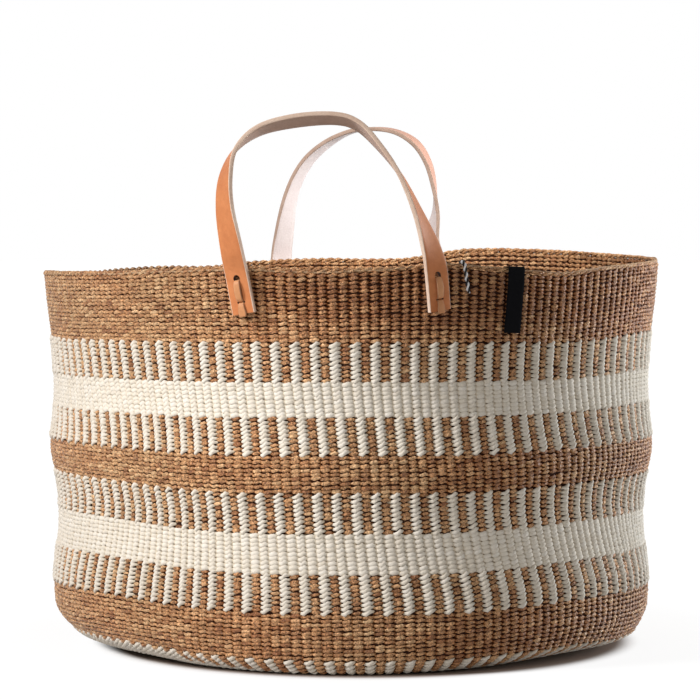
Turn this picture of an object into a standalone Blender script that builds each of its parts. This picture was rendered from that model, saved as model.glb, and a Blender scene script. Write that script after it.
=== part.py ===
"""A kiondo basket: a large round twined basket with two leather strap handles.

Metres, +Z up. The origin lies on the floor under the middle of the basket, and the
front faces -Y. An angle round the basket runs from the front towards +X. The wall is
a stack of bands, one for each run of weft yarn. Each strap is fastened outside the
wall by two laced ends, and its arch folds about an axis just above the rim.
"""

import math

import bmesh
import bpy
from mathutils import Matrix, Vector

# The body's driving sizes
RIM_RADIUS = 0.260
WALL_HEIGHT = 0.316
WALL_THICKNESS = 0.006
BASE_THICKNESS = 0.006
SEAT_GAP = 0.0003
MERGE_DISTANCE = SEAT_GAP / 30
ROUND_STEPS = 64
SHARP_ANGLE = 40

# Heights of the bands as shares of the wall's, from the floor up
HEEL_SHARE = 0.0443
LOWER_TAN_SHARE = 0.1108
LOWER_STRIPES_UNDER_SHARE = 0.0949
LOWER_CREAM_SHARE = 0.0981
LOWER_STRIPES_OVER_SHARE = 0.1013
MIDDLE_TAN_SHARE = 0.0918
UPPER_STRIPES_UNDER_SHARE = 0.0918
UPPER_CREAM_SHARE = 0.0854
UPPER_STRIPES_OVER_SHARE = 0.0981
RIM_TAN_SHARE = 0.1724
CLOSING_ROW_SHARE = 0.0111

# Outer radii as shares of the rim's radius: the tan bands swell, the cream ones draw in
BASE_RADIUS_SHARE = 0.905
FLOOR_RADIUS_SHARE = 0.930
BAND_RADIUS_SHARES = {
    # name: (at half height, at the top)
    "heel_stripe_band": (0.9455, 0.953),
    "lower_tan_band": (0.966, 0.969),
    "lower_stripes_under": (0.964, 0.957),
    "lower_cream_band": (0.952, 0.951),
    "lower_stripes_over": (0.954, 0.966),
    "middle_tan_band": (0.979, 0.979),
    "upper_stripes_under": (0.970, 0.967),
    "upper_cream_band": (0.966, 0.967),
    "upper_stripes_over": (0.970, 0.976),
    "rim_tan_band": (0.989, 0.9985),
    "rim_closing_row": (1.0, 0.9985),
}
BANDS = (
    ("heel_stripe_band", WALL_HEIGHT * HEEL_SHARE, "striped_yarns"),
    ("lower_tan_band", WALL_HEIGHT * LOWER_TAN_SHARE, "tan_paper_yarn"),
    ("lower_stripes_under", WALL_HEIGHT * LOWER_STRIPES_UNDER_SHARE, "striped_yarns"),
    ("lower_cream_band", WALL_HEIGHT * LOWER_CREAM_SHARE, "cream_wool"),
    ("lower_stripes_over", WALL_HEIGHT * LOWER_STRIPES_OVER_SHARE, "striped_yarns"),
    ("middle_tan_band", WALL_HEIGHT * MIDDLE_TAN_SHARE, "tan_paper_yarn"),
    ("upper_stripes_under", WALL_HEIGHT * UPPER_STRIPES_UNDER_SHARE, "striped_yarns"),
    ("upper_cream_band", WALL_HEIGHT * UPPER_CREAM_SHARE, "cream_wool"),
    ("upper_stripes_over", WALL_HEIGHT * UPPER_STRIPES_OVER_SHARE, "striped_yarns"),
    ("rim_tan_band", WALL_HEIGHT * RIM_TAN_SHARE, "tan_paper_yarn"),
    ("rim_closing_row", WALL_HEIGHT * CLOSING_ROW_SHARE, "tan_paper_yarn"),
)

# The soft rim rises and falls: (angle in degrees, share of the largest rise)
RIM_RISE = 0.012
RIM_RISE_SHARES = (
    (-90, -0.38),
    (-62, -0.33),
    (-46, -0.26),
    (-30, -0.04),
    (-16, 0.08),
    (-6, -0.08),
    (6, 0.06),
    (18, 0.28),
    (28, 0.02),
    (42, -0.3),
    (52, 0.02),
    (64, 0.24),
    (90, 0.52),
    (118, 0.78),
    (138, 1.05),
    (157, 1.12),
    (171, 0.42),
    (187, 0.4),
    (201, 0.2),
    (213, -0.17),
    (225, -0.15),
    (248, -0.5),
)

# The strap handles
STRAP_WIDTH = 0.020
STRAP_THICKNESS = 0.0036
HALF_SPAN = 0.075
END_DROP = 0.0360
FLUSH_LENGTH = 0.030
ARCH_RISE = 0.1014
ARCH_LEAN = 0.010
FOLD_RADIUS = 0.011
STRAP_SAMPLES = 4

# Each arch as (share of the half span, share of the rise, twist in degrees): at 90 the
# grain side faces out from the basket, at 0 it faces away from the middle of the arch
FRONT_ARCH_SHARES = (
    (-1.127, 0.0, 57),
    (-1.196, 0.305, 41),
    (-1.190, 0.545, 27),
    (-1.093, 0.752, 3),
    (-0.853, 0.900, -15),
    (-0.480, 0.972, -22),
    (-0.080, 0.990, -20),
    (0.160, 0.938, -16),
    (0.367, 0.790, -9),
    (0.593, 0.564, 1),
    (0.807, 0.266, 19),
    (0.945, 0.0, 48),
)
BACK_ARCH_SHARES = (
    (-0.887, 0.0, 46),
    (-0.950, 0.245, 13),
    (-0.930, 0.480, -5),
    (-0.852, 0.707, -13),
    (-0.700, 0.880, -15),
    (-0.450, 0.985, -7),
    (-0.150, 1.010, -2),
    (0.120, 0.980, 3),
    (0.420, 0.860, 15),
    (0.667, 0.676, 24),
    (0.840, 0.400, 31),
    (0.935, 0.0, 54),
)
# How far each strap end is turned off the wall behind it, in degrees
FRONT_END_TURNS = (11, 20)
BACK_END_TURNS = (10, 10)
FRONT_ANGLE = 0
BACK_ANGLE = 180

# The laces: each goes out through a hole, down the strap and back in at a slot
LACE_WIDTH = 0.0058
LACE_THICKNESS = 0.0016
LACE_HOLE_FROM_END = 0.0255
LACE_SLOT_FROM_END = 0.009
LACE_TAIL_PAST_END = 0.0018
CUT_OVERRUN = 0.012

# The bare black label folded over the rim
LABEL_ANGLE = 31.2
LABEL_WIDTH = 0.0148
LABEL_THICKNESS = 0.0008
LABEL_OUTSIDE = 0.050
LABEL_INSIDE = 0.014
LABEL_GAP = 0.0007
LABEL_SLOPE_SHARE = 0.35

# The black and white marker yarn stitched over the rim, beside the right strap end
MARKER_FROM_STRAP = 0.0186
MARKER_LEAN = 1.3
MARKER_RADIUS = 0.00115
MARKER_OUTSIDE = 0.0225
MARKER_INSIDE = 0.014
MARKER_GAP = 0.0006
MARKER_BEND_STEPS = 6

# Linear colour, roughness
FINISHES = {
    "cream_wool": ((0.72, 0.68, 0.57), 0.9),
    "tan_paper_yarn": ((0.37, 0.21, 0.10), 0.7),
    "striped_yarns": ((0.56, 0.46, 0.34), 0.8),
    "leather": ((0.60, 0.27, 0.11), 0.5),
    "leather_lace": ((0.56, 0.26, 0.12), 0.5),
    "label_black": ((0.01, 0.01, 0.012), 0.8),
    "marker_yarn": ((0.25, 0.25, 0.24), 0.8),
}


def clear_scene():
    for ob in list(bpy.data.objects):
        bpy.data.objects.remove(ob, do_unlink=True)


def make_collection(name):
    collection = bpy.data.collections.new(name)
    bpy.context.scene.collection.children.link(collection)
    return collection


def make_material(name):
    colour, roughness = FINISHES[name]
    material = bpy.data.materials.new(name)
    material.use_nodes = True
    shader = material.node_tree.nodes["Principled BSDF"]
    shader.inputs["Base Color"].default_value = (*colour, 1.0)
    shader.inputs["Roughness"].default_value = roughness
    shader.inputs["Metallic"].default_value = 0.0
    return material


def add_object(name, data, collection, material=None):
    ob = bpy.data.objects.new(name, data)
    collection.objects.link(ob)
    if material:
        ob.data.materials.append(material)
    return ob


def as_mesh(ob):
    """Replaces a modified or curve object by one that holds its finished mesh."""
    bpy.context.view_layer.update()
    seen = ob.evaluated_get(bpy.context.evaluated_depsgraph_get())
    data = bpy.data.meshes.new_from_object(seen)
    name, place, collection = ob.name, ob.matrix_world.copy(), ob.users_collection[0]
    bpy.data.objects.remove(ob, do_unlink=True)
    work = bmesh.new()
    work.from_mesh(data)
    bmesh.ops.remove_doubles(work, verts=work.verts, dist=MERGE_DISTANCE)
    work.to_mesh(data)
    work.free()
    solid = add_object(name, data, collection)
    solid.matrix_world = place
    return solid


def shade_round(ob):
    ob.data.shade_smooth()
    ob.data.set_sharp_from_angle(angle=math.radians(SHARP_ANGLE))


# Where the wall is


def band_floors():
    """The height at which each band starts."""
    floors, height = {}, 0.0
    for name, rise, _ in BANDS:
        floors[name] = height
        height += rise
    return floors


def radius_in_band(name, share, below):
    """Outer radius share at a share of the band's height, on a curve through three."""
    middle, top = BAND_RADIUS_SHARES[name]
    bend = 2 * (below + top - 2 * middle)
    return below + (top - below - bend) * share + bend * share * share


def wall_radius(z):
    """Outer radius of the wall at a height."""
    below, floor = FLOOR_RADIUS_SHARE, 0.0
    for name, rise, _ in BANDS:
        if z <= floor + rise or name == BANDS[-1][0]:
            share = min(max((z - floor) / rise, 0.0), 1.0)
            return RIM_RADIUS * radius_in_band(name, share, below)
        below = BAND_RADIUS_SHARES[name][1]
        floor += rise
    return RIM_RADIUS


def smooth_between(before, start, end, after, share):
    """A curve from start to end that also heeds the values on either side."""
    square = share * share
    cube = square * share
    return (
        start * (2 - 5 * square + 3 * cube)
        + end * (share + 4 * square - 3 * cube)
        + before * (2 * square - share - cube)
        + after * (cube - square)
    ) / 2


def rim_rise(angle):
    """How far the rim stands above its mean height at an angle in degrees."""
    points = RIM_RISE_SHARES
    count = len(points)
    angle = (angle - points[0][0]) % 360 + points[0][0]
    for i in range(count):
        start = points[i][0]
        end = points[(i + 1) % count][0] + (360 if i == count - 1 else 0)
        if start <= angle <= end:
            near = [points[(i + k) % count][1] for k in (-1, 0, 1, 2)]
            return RIM_RISE * smooth_between(*near, (angle - start) / (end - start))
    return 0.0


def around(angle, radius, z):
    """The point at an angle in degrees round the basket."""
    turn = math.radians(angle)
    return Vector((radius * math.sin(turn), -radius * math.cos(turn), z))


def angle_of(point):
    return math.degrees(math.atan2(point.x, -point.y))


# The basket's body


def turned_ring(name, outline, collection, material):
    """A closed outline, outer side first and downwards, turned round the Z axis."""
    count = len(outline)
    data = bpy.data.meshes.new(name)
    edges = [(i, (i + 1) % count) for i in range(count)]
    data.from_pydata([(r, 0.0, z) for r, z in outline], edges, [])
    ob = add_object(name, data, collection, material)
    screw = ob.modifiers.new("Turn", "SCREW")
    screw.axis = "Z"
    screw.angle = math.tau
    screw.steps = ROUND_STEPS
    screw.render_steps = ROUND_STEPS
    screw.use_merge_vertices = True
    screw.merge_threshold = MERGE_DISTANCE
    return ob


def band_outline(name, floor, height, lift):
    """One band of wall between two seams, each half a gap inside the band's height."""
    low, high = floor + lift, floor + height - SEAT_GAP / 2
    heights = (high, (low + high) / 2, low)
    outer = [(wall_radius(z), z) for z in heights]
    inner = [(r - WALL_THICKNESS, z) for r, z in reversed(outer)]
    return outer + inner


def heel_outline(height):
    """The band that turns from the base into the wall."""
    high = height - SEAT_GAP / 2
    base_edge = RIM_RADIUS * BASE_RADIUS_SHARE + SEAT_GAP
    middle, top = (RIM_RADIUS * share for share in BAND_RADIUS_SHARES["heel_stripe_band"])
    return [
        (top, high),
        (middle, height / 2),
        (RIM_RADIUS * FLOOR_RADIUS_SHARE, 0.0),
        (base_edge, 0.0),
        (base_edge, BASE_THICKNESS),
        (RIM_RADIUS * FLOOR_RADIUS_SHARE, BASE_THICKNESS),
        (top - WALL_THICKNESS, high),
    ]


def build_base(collection, material):
    data = bpy.data.meshes.new("base_weave")
    work = bmesh.new()
    radius = RIM_RADIUS * BASE_RADIUS_SHARE
    bmesh.ops.create_cone(
        work,
        cap_ends=True,
        segments=ROUND_STEPS,
        radius1=radius,
        radius2=radius,
        depth=BASE_THICKNESS,
    )
    work.to_mesh(data)
    work.free()
    base = add_object("base_weave", data, collection, material)
    base.location = (0.0, 0.0, BASE_THICKNESS / 2)
    shade_round(base)


def raise_rim(ob, floor, top):
    """Moves the points from floor up to top by more and more of the rim's rise."""
    for vertex in ob.data.vertices:
        share = 1.0
        if top > floor:
            share = (vertex.co.z - floor) / (top - floor)
        vertex.co.z += rim_rise(angle_of(vertex.co)) * share


def build_wall(collection, materials):
    floors = band_floors()
    for name, height, finish in BANDS:
        if name == "heel_stripe_band":
            outline = heel_outline(height)
        else:
            outline = band_outline(name, floors[name], height, SEAT_GAP / 2)
        ring = turned_ring(name, outline, collection, materials[finish])
        if name in ("rim_tan_band", "rim_closing_row"):
            ring = as_mesh(ring)
            low = floors[name] + SEAT_GAP / 2
            high = floors[name] + height - SEAT_GAP / 2
            raise_rim(ring, low, high if name == "rim_tan_band" else low)
        shade_round(ring)


# The straps. Each is worked out at the front and turned to its place.


class Handle:
    """One strap: its place, its fold axis and the stations along it."""

    def __init__(self, name, angle, arch_shares, end_turns):
        self.name = name
        self.place = Matrix.Rotation(math.radians(angle), 4, "Z")
        self.angle = angle
        self.end_turns = end_turns
        hinge_x = [arch_shares[k][0] * HALF_SPAN for k in (0, -1)]
        hinge_twists = [arch_shares[k][2] for k in (0, -1)]
        self.fold_z = self.highest_rim(hinge_x) + SEAT_GAP + FOLD_RADIUS
        self.fold_y = min(map(self.fold_depth, hinge_x, hinge_twists, end_turns))
        left = self.end_points(-HALF_SPAN, hinge_x[0], end_turns[0])
        right = self.end_points(HALF_SPAN, hinge_x[1], end_turns[1])
        arch = [self.arch_point(*shares) for shares in arch_shares]
        self.stations = sample_strap(left + arch + right[::-1])

    def rim_height(self, x):
        """The rim's height at a place across the strap's side of the basket."""
        across = math.degrees(math.asin(x / RIM_RADIUS))
        return WALL_HEIGHT + rim_rise(across + self.angle)

    def highest_rim(self, hinge_x):
        half = STRAP_WIDTH / 2
        return max(self.rim_height(x + side) for x in hinge_x for side in (-half, half))

    def wall_y(self, x, z):
        radius = wall_radius(z)
        return -math.sqrt(radius * radius - x * x)

    def stand_off(self, x, turn):
        """How far in front of the wall a strap's middle lies where it is turned."""
        half = STRAP_WIDTH / 2 * math.sin(math.radians(turn)) + STRAP_THICKNESS / 2
        return (SEAT_GAP * 2 + half) / math.cos(math.asin(x / RIM_RADIUS))

    def fold_depth(self, x, twist, end_turn):
        """Where the fold has to be for a twisting leg to pass the rim."""
        fold_turn = 90 - twist - abs(math.degrees(math.asin(x / RIM_RADIUS)))
        turn = (end_turn + fold_turn) / 2
        return self.wall_y(x, WALL_HEIGHT) - self.stand_off(x, turn)

    def end_points(self, end_x, hinge_x, turn):
        """The strap's tip and the point where it leaves the wall."""
        tip_z = self.rim_height(end_x) - END_DROP
        points = []
        for rise in (0.0, FLUSH_LENGTH):
            share = rise / (self.fold_z - tip_z)
            x = end_x + (hinge_x - end_x) * share
            z = tip_z + rise
            y = self.wall_y(x, z) - self.stand_off(x, turn)
            twist = 90 - turn - abs(math.degrees(math.asin(x / wall_radius(z))))
            points.append((Vector((x, y, z)), twist))
        return points

    def arch_point(self, across_share, rise_share, twist):
        lean = ARCH_LEAN * rise_share * rise_share
        x = HALF_SPAN * across_share
        z = self.fold_z + ARCH_RISE * rise_share
        return Vector((x, self.fold_y + lean, z)), twist

    def fold_point(self):
        return Vector((0.0, self.fold_y, self.fold_z))


def sample_strap(points):
    """Stations along a smooth curve: (middle, along, outward face, way across)."""
    middles, twists = [], []
    count = len(points)
    for i in range(count - 1):
        near = [points[min(max(i + k, 0), count - 1)] for k in (-1, 0, 1, 2)]
        for step in range(STRAP_SAMPLES):
            share = step / STRAP_SAMPLES
            middles.append(smooth_between(*(p for p, _ in near), share))
            twists.append(smooth_between(*(t for _, t in near), share))
    middles.append(points[-1][0])
    twists.append(points[-1][1])
    return [strap_station(middles, i, twist) for i, twist in enumerate(twists)]


def strap_station(middles, i, twist):
    last = len(middles) - 1
    along = (middles[min(i + 1, last)] - middles[max(i - 1, 0)]).normalized()
    outward = Vector((-along.z, 0.0, along.x)).normalized()
    forward = along.cross(outward)
    turn = math.radians(twist)
    face = outward * math.cos(turn) + forward * math.sin(turn)
    return middles[i], along, face, along.cross(face)


def blend_station(first, second, share):
    middle = first[0].lerp(second[0], share)
    along, face, across = (a.lerp(b, share).normalized() for a, b in zip(first[1:], second[1:]))
    return middle, along, face, across


def cut_at_height(stations, z):
    """Splits rising stations at a height, with a station of its own at the cut.

    A slanting strap's corners reach past its middle, so near stations are left out.
    """
    room = STRAP_WIDTH / 4
    for i in range(len(stations) - 1):
        low, high = stations[i][0].z, stations[i + 1][0].z
        if low <= z < high:
            cut = blend_station(stations[i], stations[i + 1], (z - low) / (high - low))
            below = [s for s in stations[: i + 1] if s[0].z < z - room]
            above = [s for s in stations[i + 1 :] if s[0].z > z + room]
            return below + [cut], [cut] + above
    raise ValueError("the strap doesn't reach this height")


def strap_parts(handle):
    """The stations of the left end, the arch and the right end, both ends rising."""
    middle = len(handle.stations) // 2
    end_top = handle.fold_z - FOLD_RADIUS
    arch_foot = end_top + SEAT_GAP
    left, right = handle.stations[: middle + 1], handle.stations[:middle:-1]
    left_end = cut_at_height(left, end_top)[0]
    right_end = cut_at_height(right, end_top)[0]
    left_leg = cut_at_height(left, arch_foot)[1]
    right_leg = cut_at_height(right, arch_foot)[1]
    return left_end, left_leg + right_leg[::-1], right_end


def section_points(station):
    """Six points round the strap: three across the face and three across the back."""
    middle, _, face, across = station
    half_width, half_thick = STRAP_WIDTH / 2, STRAP_THICKNESS / 2
    front = [middle + face * half_thick + across * half_width * k for k in (-1, 0, 1)]
    back = [middle - face * half_thick + across * half_width * k for k in (1, 0, -1)]
    return front + back


def slide_to_height(points, along, height):
    """Slides a section's points along the strap onto one level."""
    return [p + along * ((height - p.z) / along.z) for p in points]


def slide_to_circle(points, along, fold, reach):
    """Slides a section's points down the strap onto a circle about the fold axis."""
    down = along if along.z < 0 else -along
    slid = []
    for point in points:
        offset = point - fold
        flat = offset.y * down.y + offset.z * down.z
        length = down.y * down.y + down.z * down.z
        short = offset.y * offset.y + offset.z * offset.z - reach * reach
        slid.append(point + down * ((math.sqrt(flat * flat - length * short) - flat) / length))
    return slid


def loft(name, sections, collection, material, origin):
    """A closed solid through like sections, its mesh held relative to the origin."""
    work = bmesh.new()
    rings = [[work.verts.new(p - origin) for p in section] for section in sections]
    count = len(rings[0])
    for low, high in zip(rings, rings[1:]):
        for i in range(count):
            j = (i + 1) % count
            work.faces.new((low[i], high[i], high[j], low[j]))
    for ring, flip in ((rings[0], False), (rings[-1], True)):
        left, right = ring[:2] + ring[4:], ring[1:5]
        for face in (left, right):
            work.faces.new(face[::-1] if flip else face)
    bmesh.ops.recalc_face_normals(work, faces=work.faces)
    data = bpy.data.meshes.new(name)
    work.to_mesh(data)
    work.free()
    ob = add_object(name, data, collection, material)
    shade_round(ob)
    return ob


def build_arch(handle, stations, collection, material):
    """The free part of a strap, its two feet rounded about the fold axis."""
    fold = handle.fold_point()
    sections = [section_points(s) for s in stations]
    for k in (0, -1):
        along = stations[k][1]
        sections[k] = slide_to_circle(sections[k], along, fold, FOLD_RADIUS - SEAT_GAP)
    arch = loft(handle.name + "_strap_arch", sections, collection, material, fold)
    arch.matrix_world = handle.place @ Matrix.Translation(fold)


def build_strap_end(name, handle, stations, collection, material):
    """A laced end, cut level at the top where the arch's foot stands."""
    sections = [section_points(s) for s in stations]
    level = handle.fold_z - FOLD_RADIUS
    sections[-1] = slide_to_height(sections[-1], stations[-1][1], level)
    end = loft(name, sections, collection, material, Vector())
    end.matrix_world = handle.place
    return end


def lace_frame(stations):
    """Origin at the strap's tip: X outwards, Y up the strap, Z across it."""
    tip, top = stations[0], blend_at(stations, FLUSH_LENGTH)
    along = (top[0] - tip[0]).normalized()
    across = along.cross(tip[2]).normalized()
    face = across.cross(along)
    frame = Matrix((face, along, across)).transposed().to_4x4()
    frame.translation = tip[0]
    return frame


def blend_at(stations, length):
    """The station at a length along the strap from its first one."""
    walked = 0.0
    for first, second in zip(stations, stations[1:]):
        step = (second[0] - first[0]).length
        if walked + step >= length:
            return blend_station(first, second, (length - walked) / step)
        walked += step
    return stations[-1]


def lace_depth(turn):
    """From the strap's middle to the inner bar of its lace, inside the wall."""
    slant = math.radians(turn)
    tilt = math.sin(slant) * (STRAP_WIDTH + LACE_WIDTH) / 2
    through = (STRAP_THICKNESS / 2 + WALL_THICKNESS + tilt) / math.cos(slant)
    return through + LACE_WIDTH / 3


def flat_outline(name, loops, half_depth, collection, material):
    """A flat shape with holes, given as loops of points and made thick both ways."""
    data = bpy.data.curves.new(name, "CURVE")
    data.dimensions = "2D"
    data.fill_mode = "BOTH"
    data.extrude = half_depth
    for loop in loops:
        spline = data.splines.new("POLY")
        spline.points.add(len(loop) - 1)
        for point, (x, y) in zip(spline.points, loop):
            point.co = (x, y, 0.0, 1.0)
        spline.use_cyclic_u = True
    return as_mesh_with(add_object(name, data, collection), material)


def as_mesh_with(ob, material):
    solid = as_mesh(ob)
    solid.data.materials.clear()
    solid.data.materials.append(material)
    return solid


def build_lace(name, place, turn, collection, material):
    face = STRAP_THICKNESS / 2 + SEAT_GAP
    depth = lace_depth(turn)
    half = LACE_THICKNESS / 2
    top, low = LACE_HOLE_FROM_END + half, LACE_SLOT_FROM_END - half
    outer = (
        (face + LACE_THICKNESS, top),
        (face + LACE_THICKNESS, -LACE_TAIL_PAST_END),
        (face, -LACE_TAIL_PAST_END),
        (face, low),
        (-depth - LACE_THICKNESS, low),
        (-depth - LACE_THICKNESS, top),
    )
    inner = (
        (face, LACE_SLOT_FROM_END + half),
        (face, LACE_HOLE_FROM_END - half),
        (-depth, LACE_HOLE_FROM_END - half),
        (-depth, LACE_SLOT_FROM_END + half),
    )
    lace = flat_outline(name, (outer, inner), LACE_WIDTH / 2, collection, material)
    lace.matrix_world = place
    shade_round(lace)


def add_lace_cutters(name, place, turn, targets, collection):
    """Two openings for a lace, cut through the strap end and the wall."""
    size = (
        (lace_depth(turn) + CUT_OVERRUN) * 2,
        LACE_THICKNESS + SEAT_GAP * 2,
        LACE_WIDTH + SEAT_GAP * 2,
    )
    for label, height in (("hole", LACE_HOLE_FROM_END), ("slot", LACE_SLOT_FROM_END)):
        data = bpy.data.meshes.new(f"{name}_{label}_cutter")
        work = bmesh.new()
        bmesh.ops.create_cube(work, size=1.0)
        bmesh.ops.scale(work, vec=size, verts=work.verts)
        work.to_mesh(data)
        work.free()
        cutter = add_object(data.name, data, collection)
        cutter.matrix_world = place @ Matrix.Translation((0.0, height, 0.0))
        cutter.hide_render = True
        cutter.display_type = "WIRE"
        for target in targets:
            cut = target.modifiers.new(cutter.name, "BOOLEAN")
            cut.operation = "DIFFERENCE"
            cut.solver = "EXACT"
            cut.object = cutter


def build_handle(handle, wall, collection, cutters, materials):
    left_end, arch, right_end = strap_parts(handle)
    leather = materials["leather"]
    build_arch(handle, arch, collection, leather)
    ends = zip(("left", "right"), (left_end, right_end), handle.end_turns)
    for side, stations, turn in ends:
        name = f"{handle.name}_{side}_strap_end"
        end = build_strap_end(name, handle, stations, collection, leather)
        place = handle.place @ lace_frame(stations)
        add_lace_cutters(name, place, turn, (end, wall), cutters)
        lace = f"{handle.name}_{side}_lace"
        build_lace(lace, place, turn, collection, materials["leather_lace"])


# What is stitched to the rim


def rim_slope(angle):
    """How much the rim's top rises for each metre along it."""
    step = 1.0
    rise = rim_rise(angle + step) - rim_rise(angle - step)
    return rise / (2 * math.radians(step) * RIM_RADIUS)


def build_label(collection, material):
    """A ribbon folded over the rim. X runs outwards from the rim, Y up."""
    top = WALL_HEIGHT
    outer_face = [top, top - LABEL_OUTSIDE / 2, top - LABEL_OUTSIDE]
    inner_face = [top, top - LABEL_INSIDE]

    def outside(z, thickness):
        return wall_radius(z) - RIM_RADIUS + LABEL_GAP + thickness, z - top

    def inside(z, thickness):
        return wall_radius(z) - RIM_RADIUS - WALL_THICKNESS - LABEL_GAP - thickness, z - top

    under = LABEL_GAP * 1.5
    over = under + LABEL_THICKNESS
    outline = (
        [(outside(top, LABEL_THICKNESS)[0], over)]
        + [outside(z, LABEL_THICKNESS) for z in outer_face[1:]]
        + [outside(z, 0.0) for z in reversed(outer_face[1:])]
        + [(outside(top, 0.0)[0], under), (inside(top, 0.0)[0], under)]
        + [inside(z, 0.0) for z in inner_face[1:]]
        + [inside(z, LABEL_THICKNESS) for z in inner_face[1:]]
        + [(inside(top, LABEL_THICKNESS)[0], over)]
    )
    label = flat_outline("label_tag", (outline,), LABEL_WIDTH / 2, collection, material)
    outward = around(LABEL_ANGLE, 1.0, 0.0)
    slope = rim_slope(LABEL_ANGLE) * LABEL_SLOPE_SHARE
    across = around(LABEL_ANGLE + 90, 1.0, slope).normalized()
    frame = Matrix((outward, outward.cross(across), -across)).transposed().to_4x4()
    frame.translation = around(LABEL_ANGLE, RIM_RADIUS, top + rim_rise(LABEL_ANGLE))
    label.matrix_world = frame
    shade_round(label)


def marker_points():
    """From low outside, up over the rim and down inside, clear of the wall."""
    angle = math.degrees(math.asin((HALF_SPAN + MARKER_FROM_STRAP) / RIM_RADIUS))
    clear = MARKER_RADIUS + MARKER_GAP
    foot, inner_foot = WALL_HEIGHT - MARKER_OUTSIDE, WALL_HEIGHT - MARKER_INSIDE
    lift = rim_rise(angle)
    low_angle = angle + MARKER_LEAN
    points = [around(low_angle, wall_radius(foot) + clear, foot + lift)]
    middle_radius = RIM_RADIUS - WALL_THICKNESS / 2
    half = WALL_THICKNESS / 2 + clear
    for step in range(MARKER_BEND_STEPS + 1):
        turn = math.pi * step / MARKER_BEND_STEPS
        radius = middle_radius + half * math.cos(turn)
        points.append(around(angle, radius, WALL_HEIGHT + lift + clear * math.sin(turn)))
    inner_radius = wall_radius(inner_foot) - WALL_THICKNESS - clear
    points.append(around(angle, inner_radius, inner_foot + lift))
    return points


def build_marker(collection, material):
    data = bpy.data.curves.new("marker_yarn", "CURVE")
    data.dimensions = "3D"
    data.bevel_depth = MARKER_RADIUS
    data.bevel_resolution = 2
    data.use_fill_caps = True
    points = marker_points()
    spline = data.splines.new("POLY")
    spline.points.add(len(points) - 1)
    for point, place in zip(spline.points, points):
        point.co = (*place, 1.0)
    marker = as_mesh_with(add_object("marker_yarn", data, collection), material)
    shade_round(marker)


def main():
    clear_scene()
    basket = make_collection("kiondo_basket")
    cutters = make_collection("cutters")
    materials = {name: make_material(name) for name in FINISHES}
    build_base(basket, materials["cream_wool"])
    build_wall(basket, materials)
    wall = bpy.data.objects["rim_tan_band"]
    handles = (
        Handle("front", FRONT_ANGLE, FRONT_ARCH_SHARES, FRONT_END_TURNS),
        Handle("back", BACK_ANGLE, BACK_ARCH_SHARES, BACK_END_TURNS),
    )
    for handle in handles:
        build_handle(handle, wall, basket, cutters, materials)
    build_label(basket, materials["label_black"])
    build_marker(basket, materials["marker_yarn"])


main()
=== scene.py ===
"""The looks of a kiondo basket: twined yarns, leather straps, laces, label and marker.

Metres, +Z up, front at -Y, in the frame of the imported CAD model. Every row of the
basket is made as it is woven: two strands that twist round each other between the
warps, one passing outside a warp while the other passes inside it. An angle round the
basket, in degrees, runs from the front towards +X. The shapes of the wall, the rim and
the straps repeat the CAD's formulas.
"""

import math
from collections import namedtuple

import bmesh
import bpy
import numpy as np
from mathutils import Matrix, Vector

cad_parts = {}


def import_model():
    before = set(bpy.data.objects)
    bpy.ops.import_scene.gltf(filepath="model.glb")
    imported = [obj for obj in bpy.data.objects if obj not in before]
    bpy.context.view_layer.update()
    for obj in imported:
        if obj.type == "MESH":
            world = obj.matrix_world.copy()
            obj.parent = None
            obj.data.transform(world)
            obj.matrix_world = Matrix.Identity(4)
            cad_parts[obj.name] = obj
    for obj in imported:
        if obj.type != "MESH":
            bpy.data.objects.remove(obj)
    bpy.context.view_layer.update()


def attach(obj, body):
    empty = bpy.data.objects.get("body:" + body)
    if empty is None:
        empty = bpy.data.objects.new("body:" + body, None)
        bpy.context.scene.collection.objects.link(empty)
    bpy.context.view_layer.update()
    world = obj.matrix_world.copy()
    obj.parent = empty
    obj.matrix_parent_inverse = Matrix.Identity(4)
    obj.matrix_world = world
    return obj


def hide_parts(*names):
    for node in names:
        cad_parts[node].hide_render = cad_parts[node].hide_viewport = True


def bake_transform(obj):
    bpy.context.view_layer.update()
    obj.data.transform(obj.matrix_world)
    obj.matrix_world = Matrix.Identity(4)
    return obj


SEED = 7

# The wall, as the CAD has it
RIM_RADIUS = 0.260
WALL_HEIGHT = 0.316
WALL_THICKNESS = 0.006
SEAT_GAP = 0.0003
FLOOR_RADIUS_SHARE = 0.930
BANDS = (
    # name, share of the height, radius shares at half height and at the top
    ("heel_stripe_band", 0.0443, 0.9455, 0.953),
    ("lower_tan_band", 0.1108, 0.966, 0.969),
    ("lower_stripes_under", 0.0949, 0.964, 0.957),
    ("lower_cream_band", 0.0981, 0.952, 0.951),
    ("lower_stripes_over", 0.1013, 0.954, 0.966),
    ("middle_tan_band", 0.0918, 0.979, 0.979),
    ("upper_stripes_under", 0.0918, 0.970, 0.967),
    ("upper_cream_band", 0.0854, 0.966, 0.967),
    ("upper_stripes_over", 0.0981, 0.970, 0.976),
    ("rim_tan_band", 0.1724, 0.989, 0.9985),
    ("rim_closing_row", 0.0111, 1.0, 0.9985),
)
RIM_RISE = 0.012
RIM_RISE_SHARES = (
    (-90, -0.38), (-62, -0.33), (-46, -0.26), (-30, -0.04), (-16, 0.08), (-6, -0.08),
    (6, 0.06), (18, 0.28), (28, 0.02), (42, -0.30), (52, 0.02), (64, 0.24), (90, 0.52),
    (118, 0.78), (138, 1.05), (157, 1.12), (171, 0.42), (187, 0.40), (201, 0.20),
    (213, -0.17), (225, -0.15), (248, -0.50),
)

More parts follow.
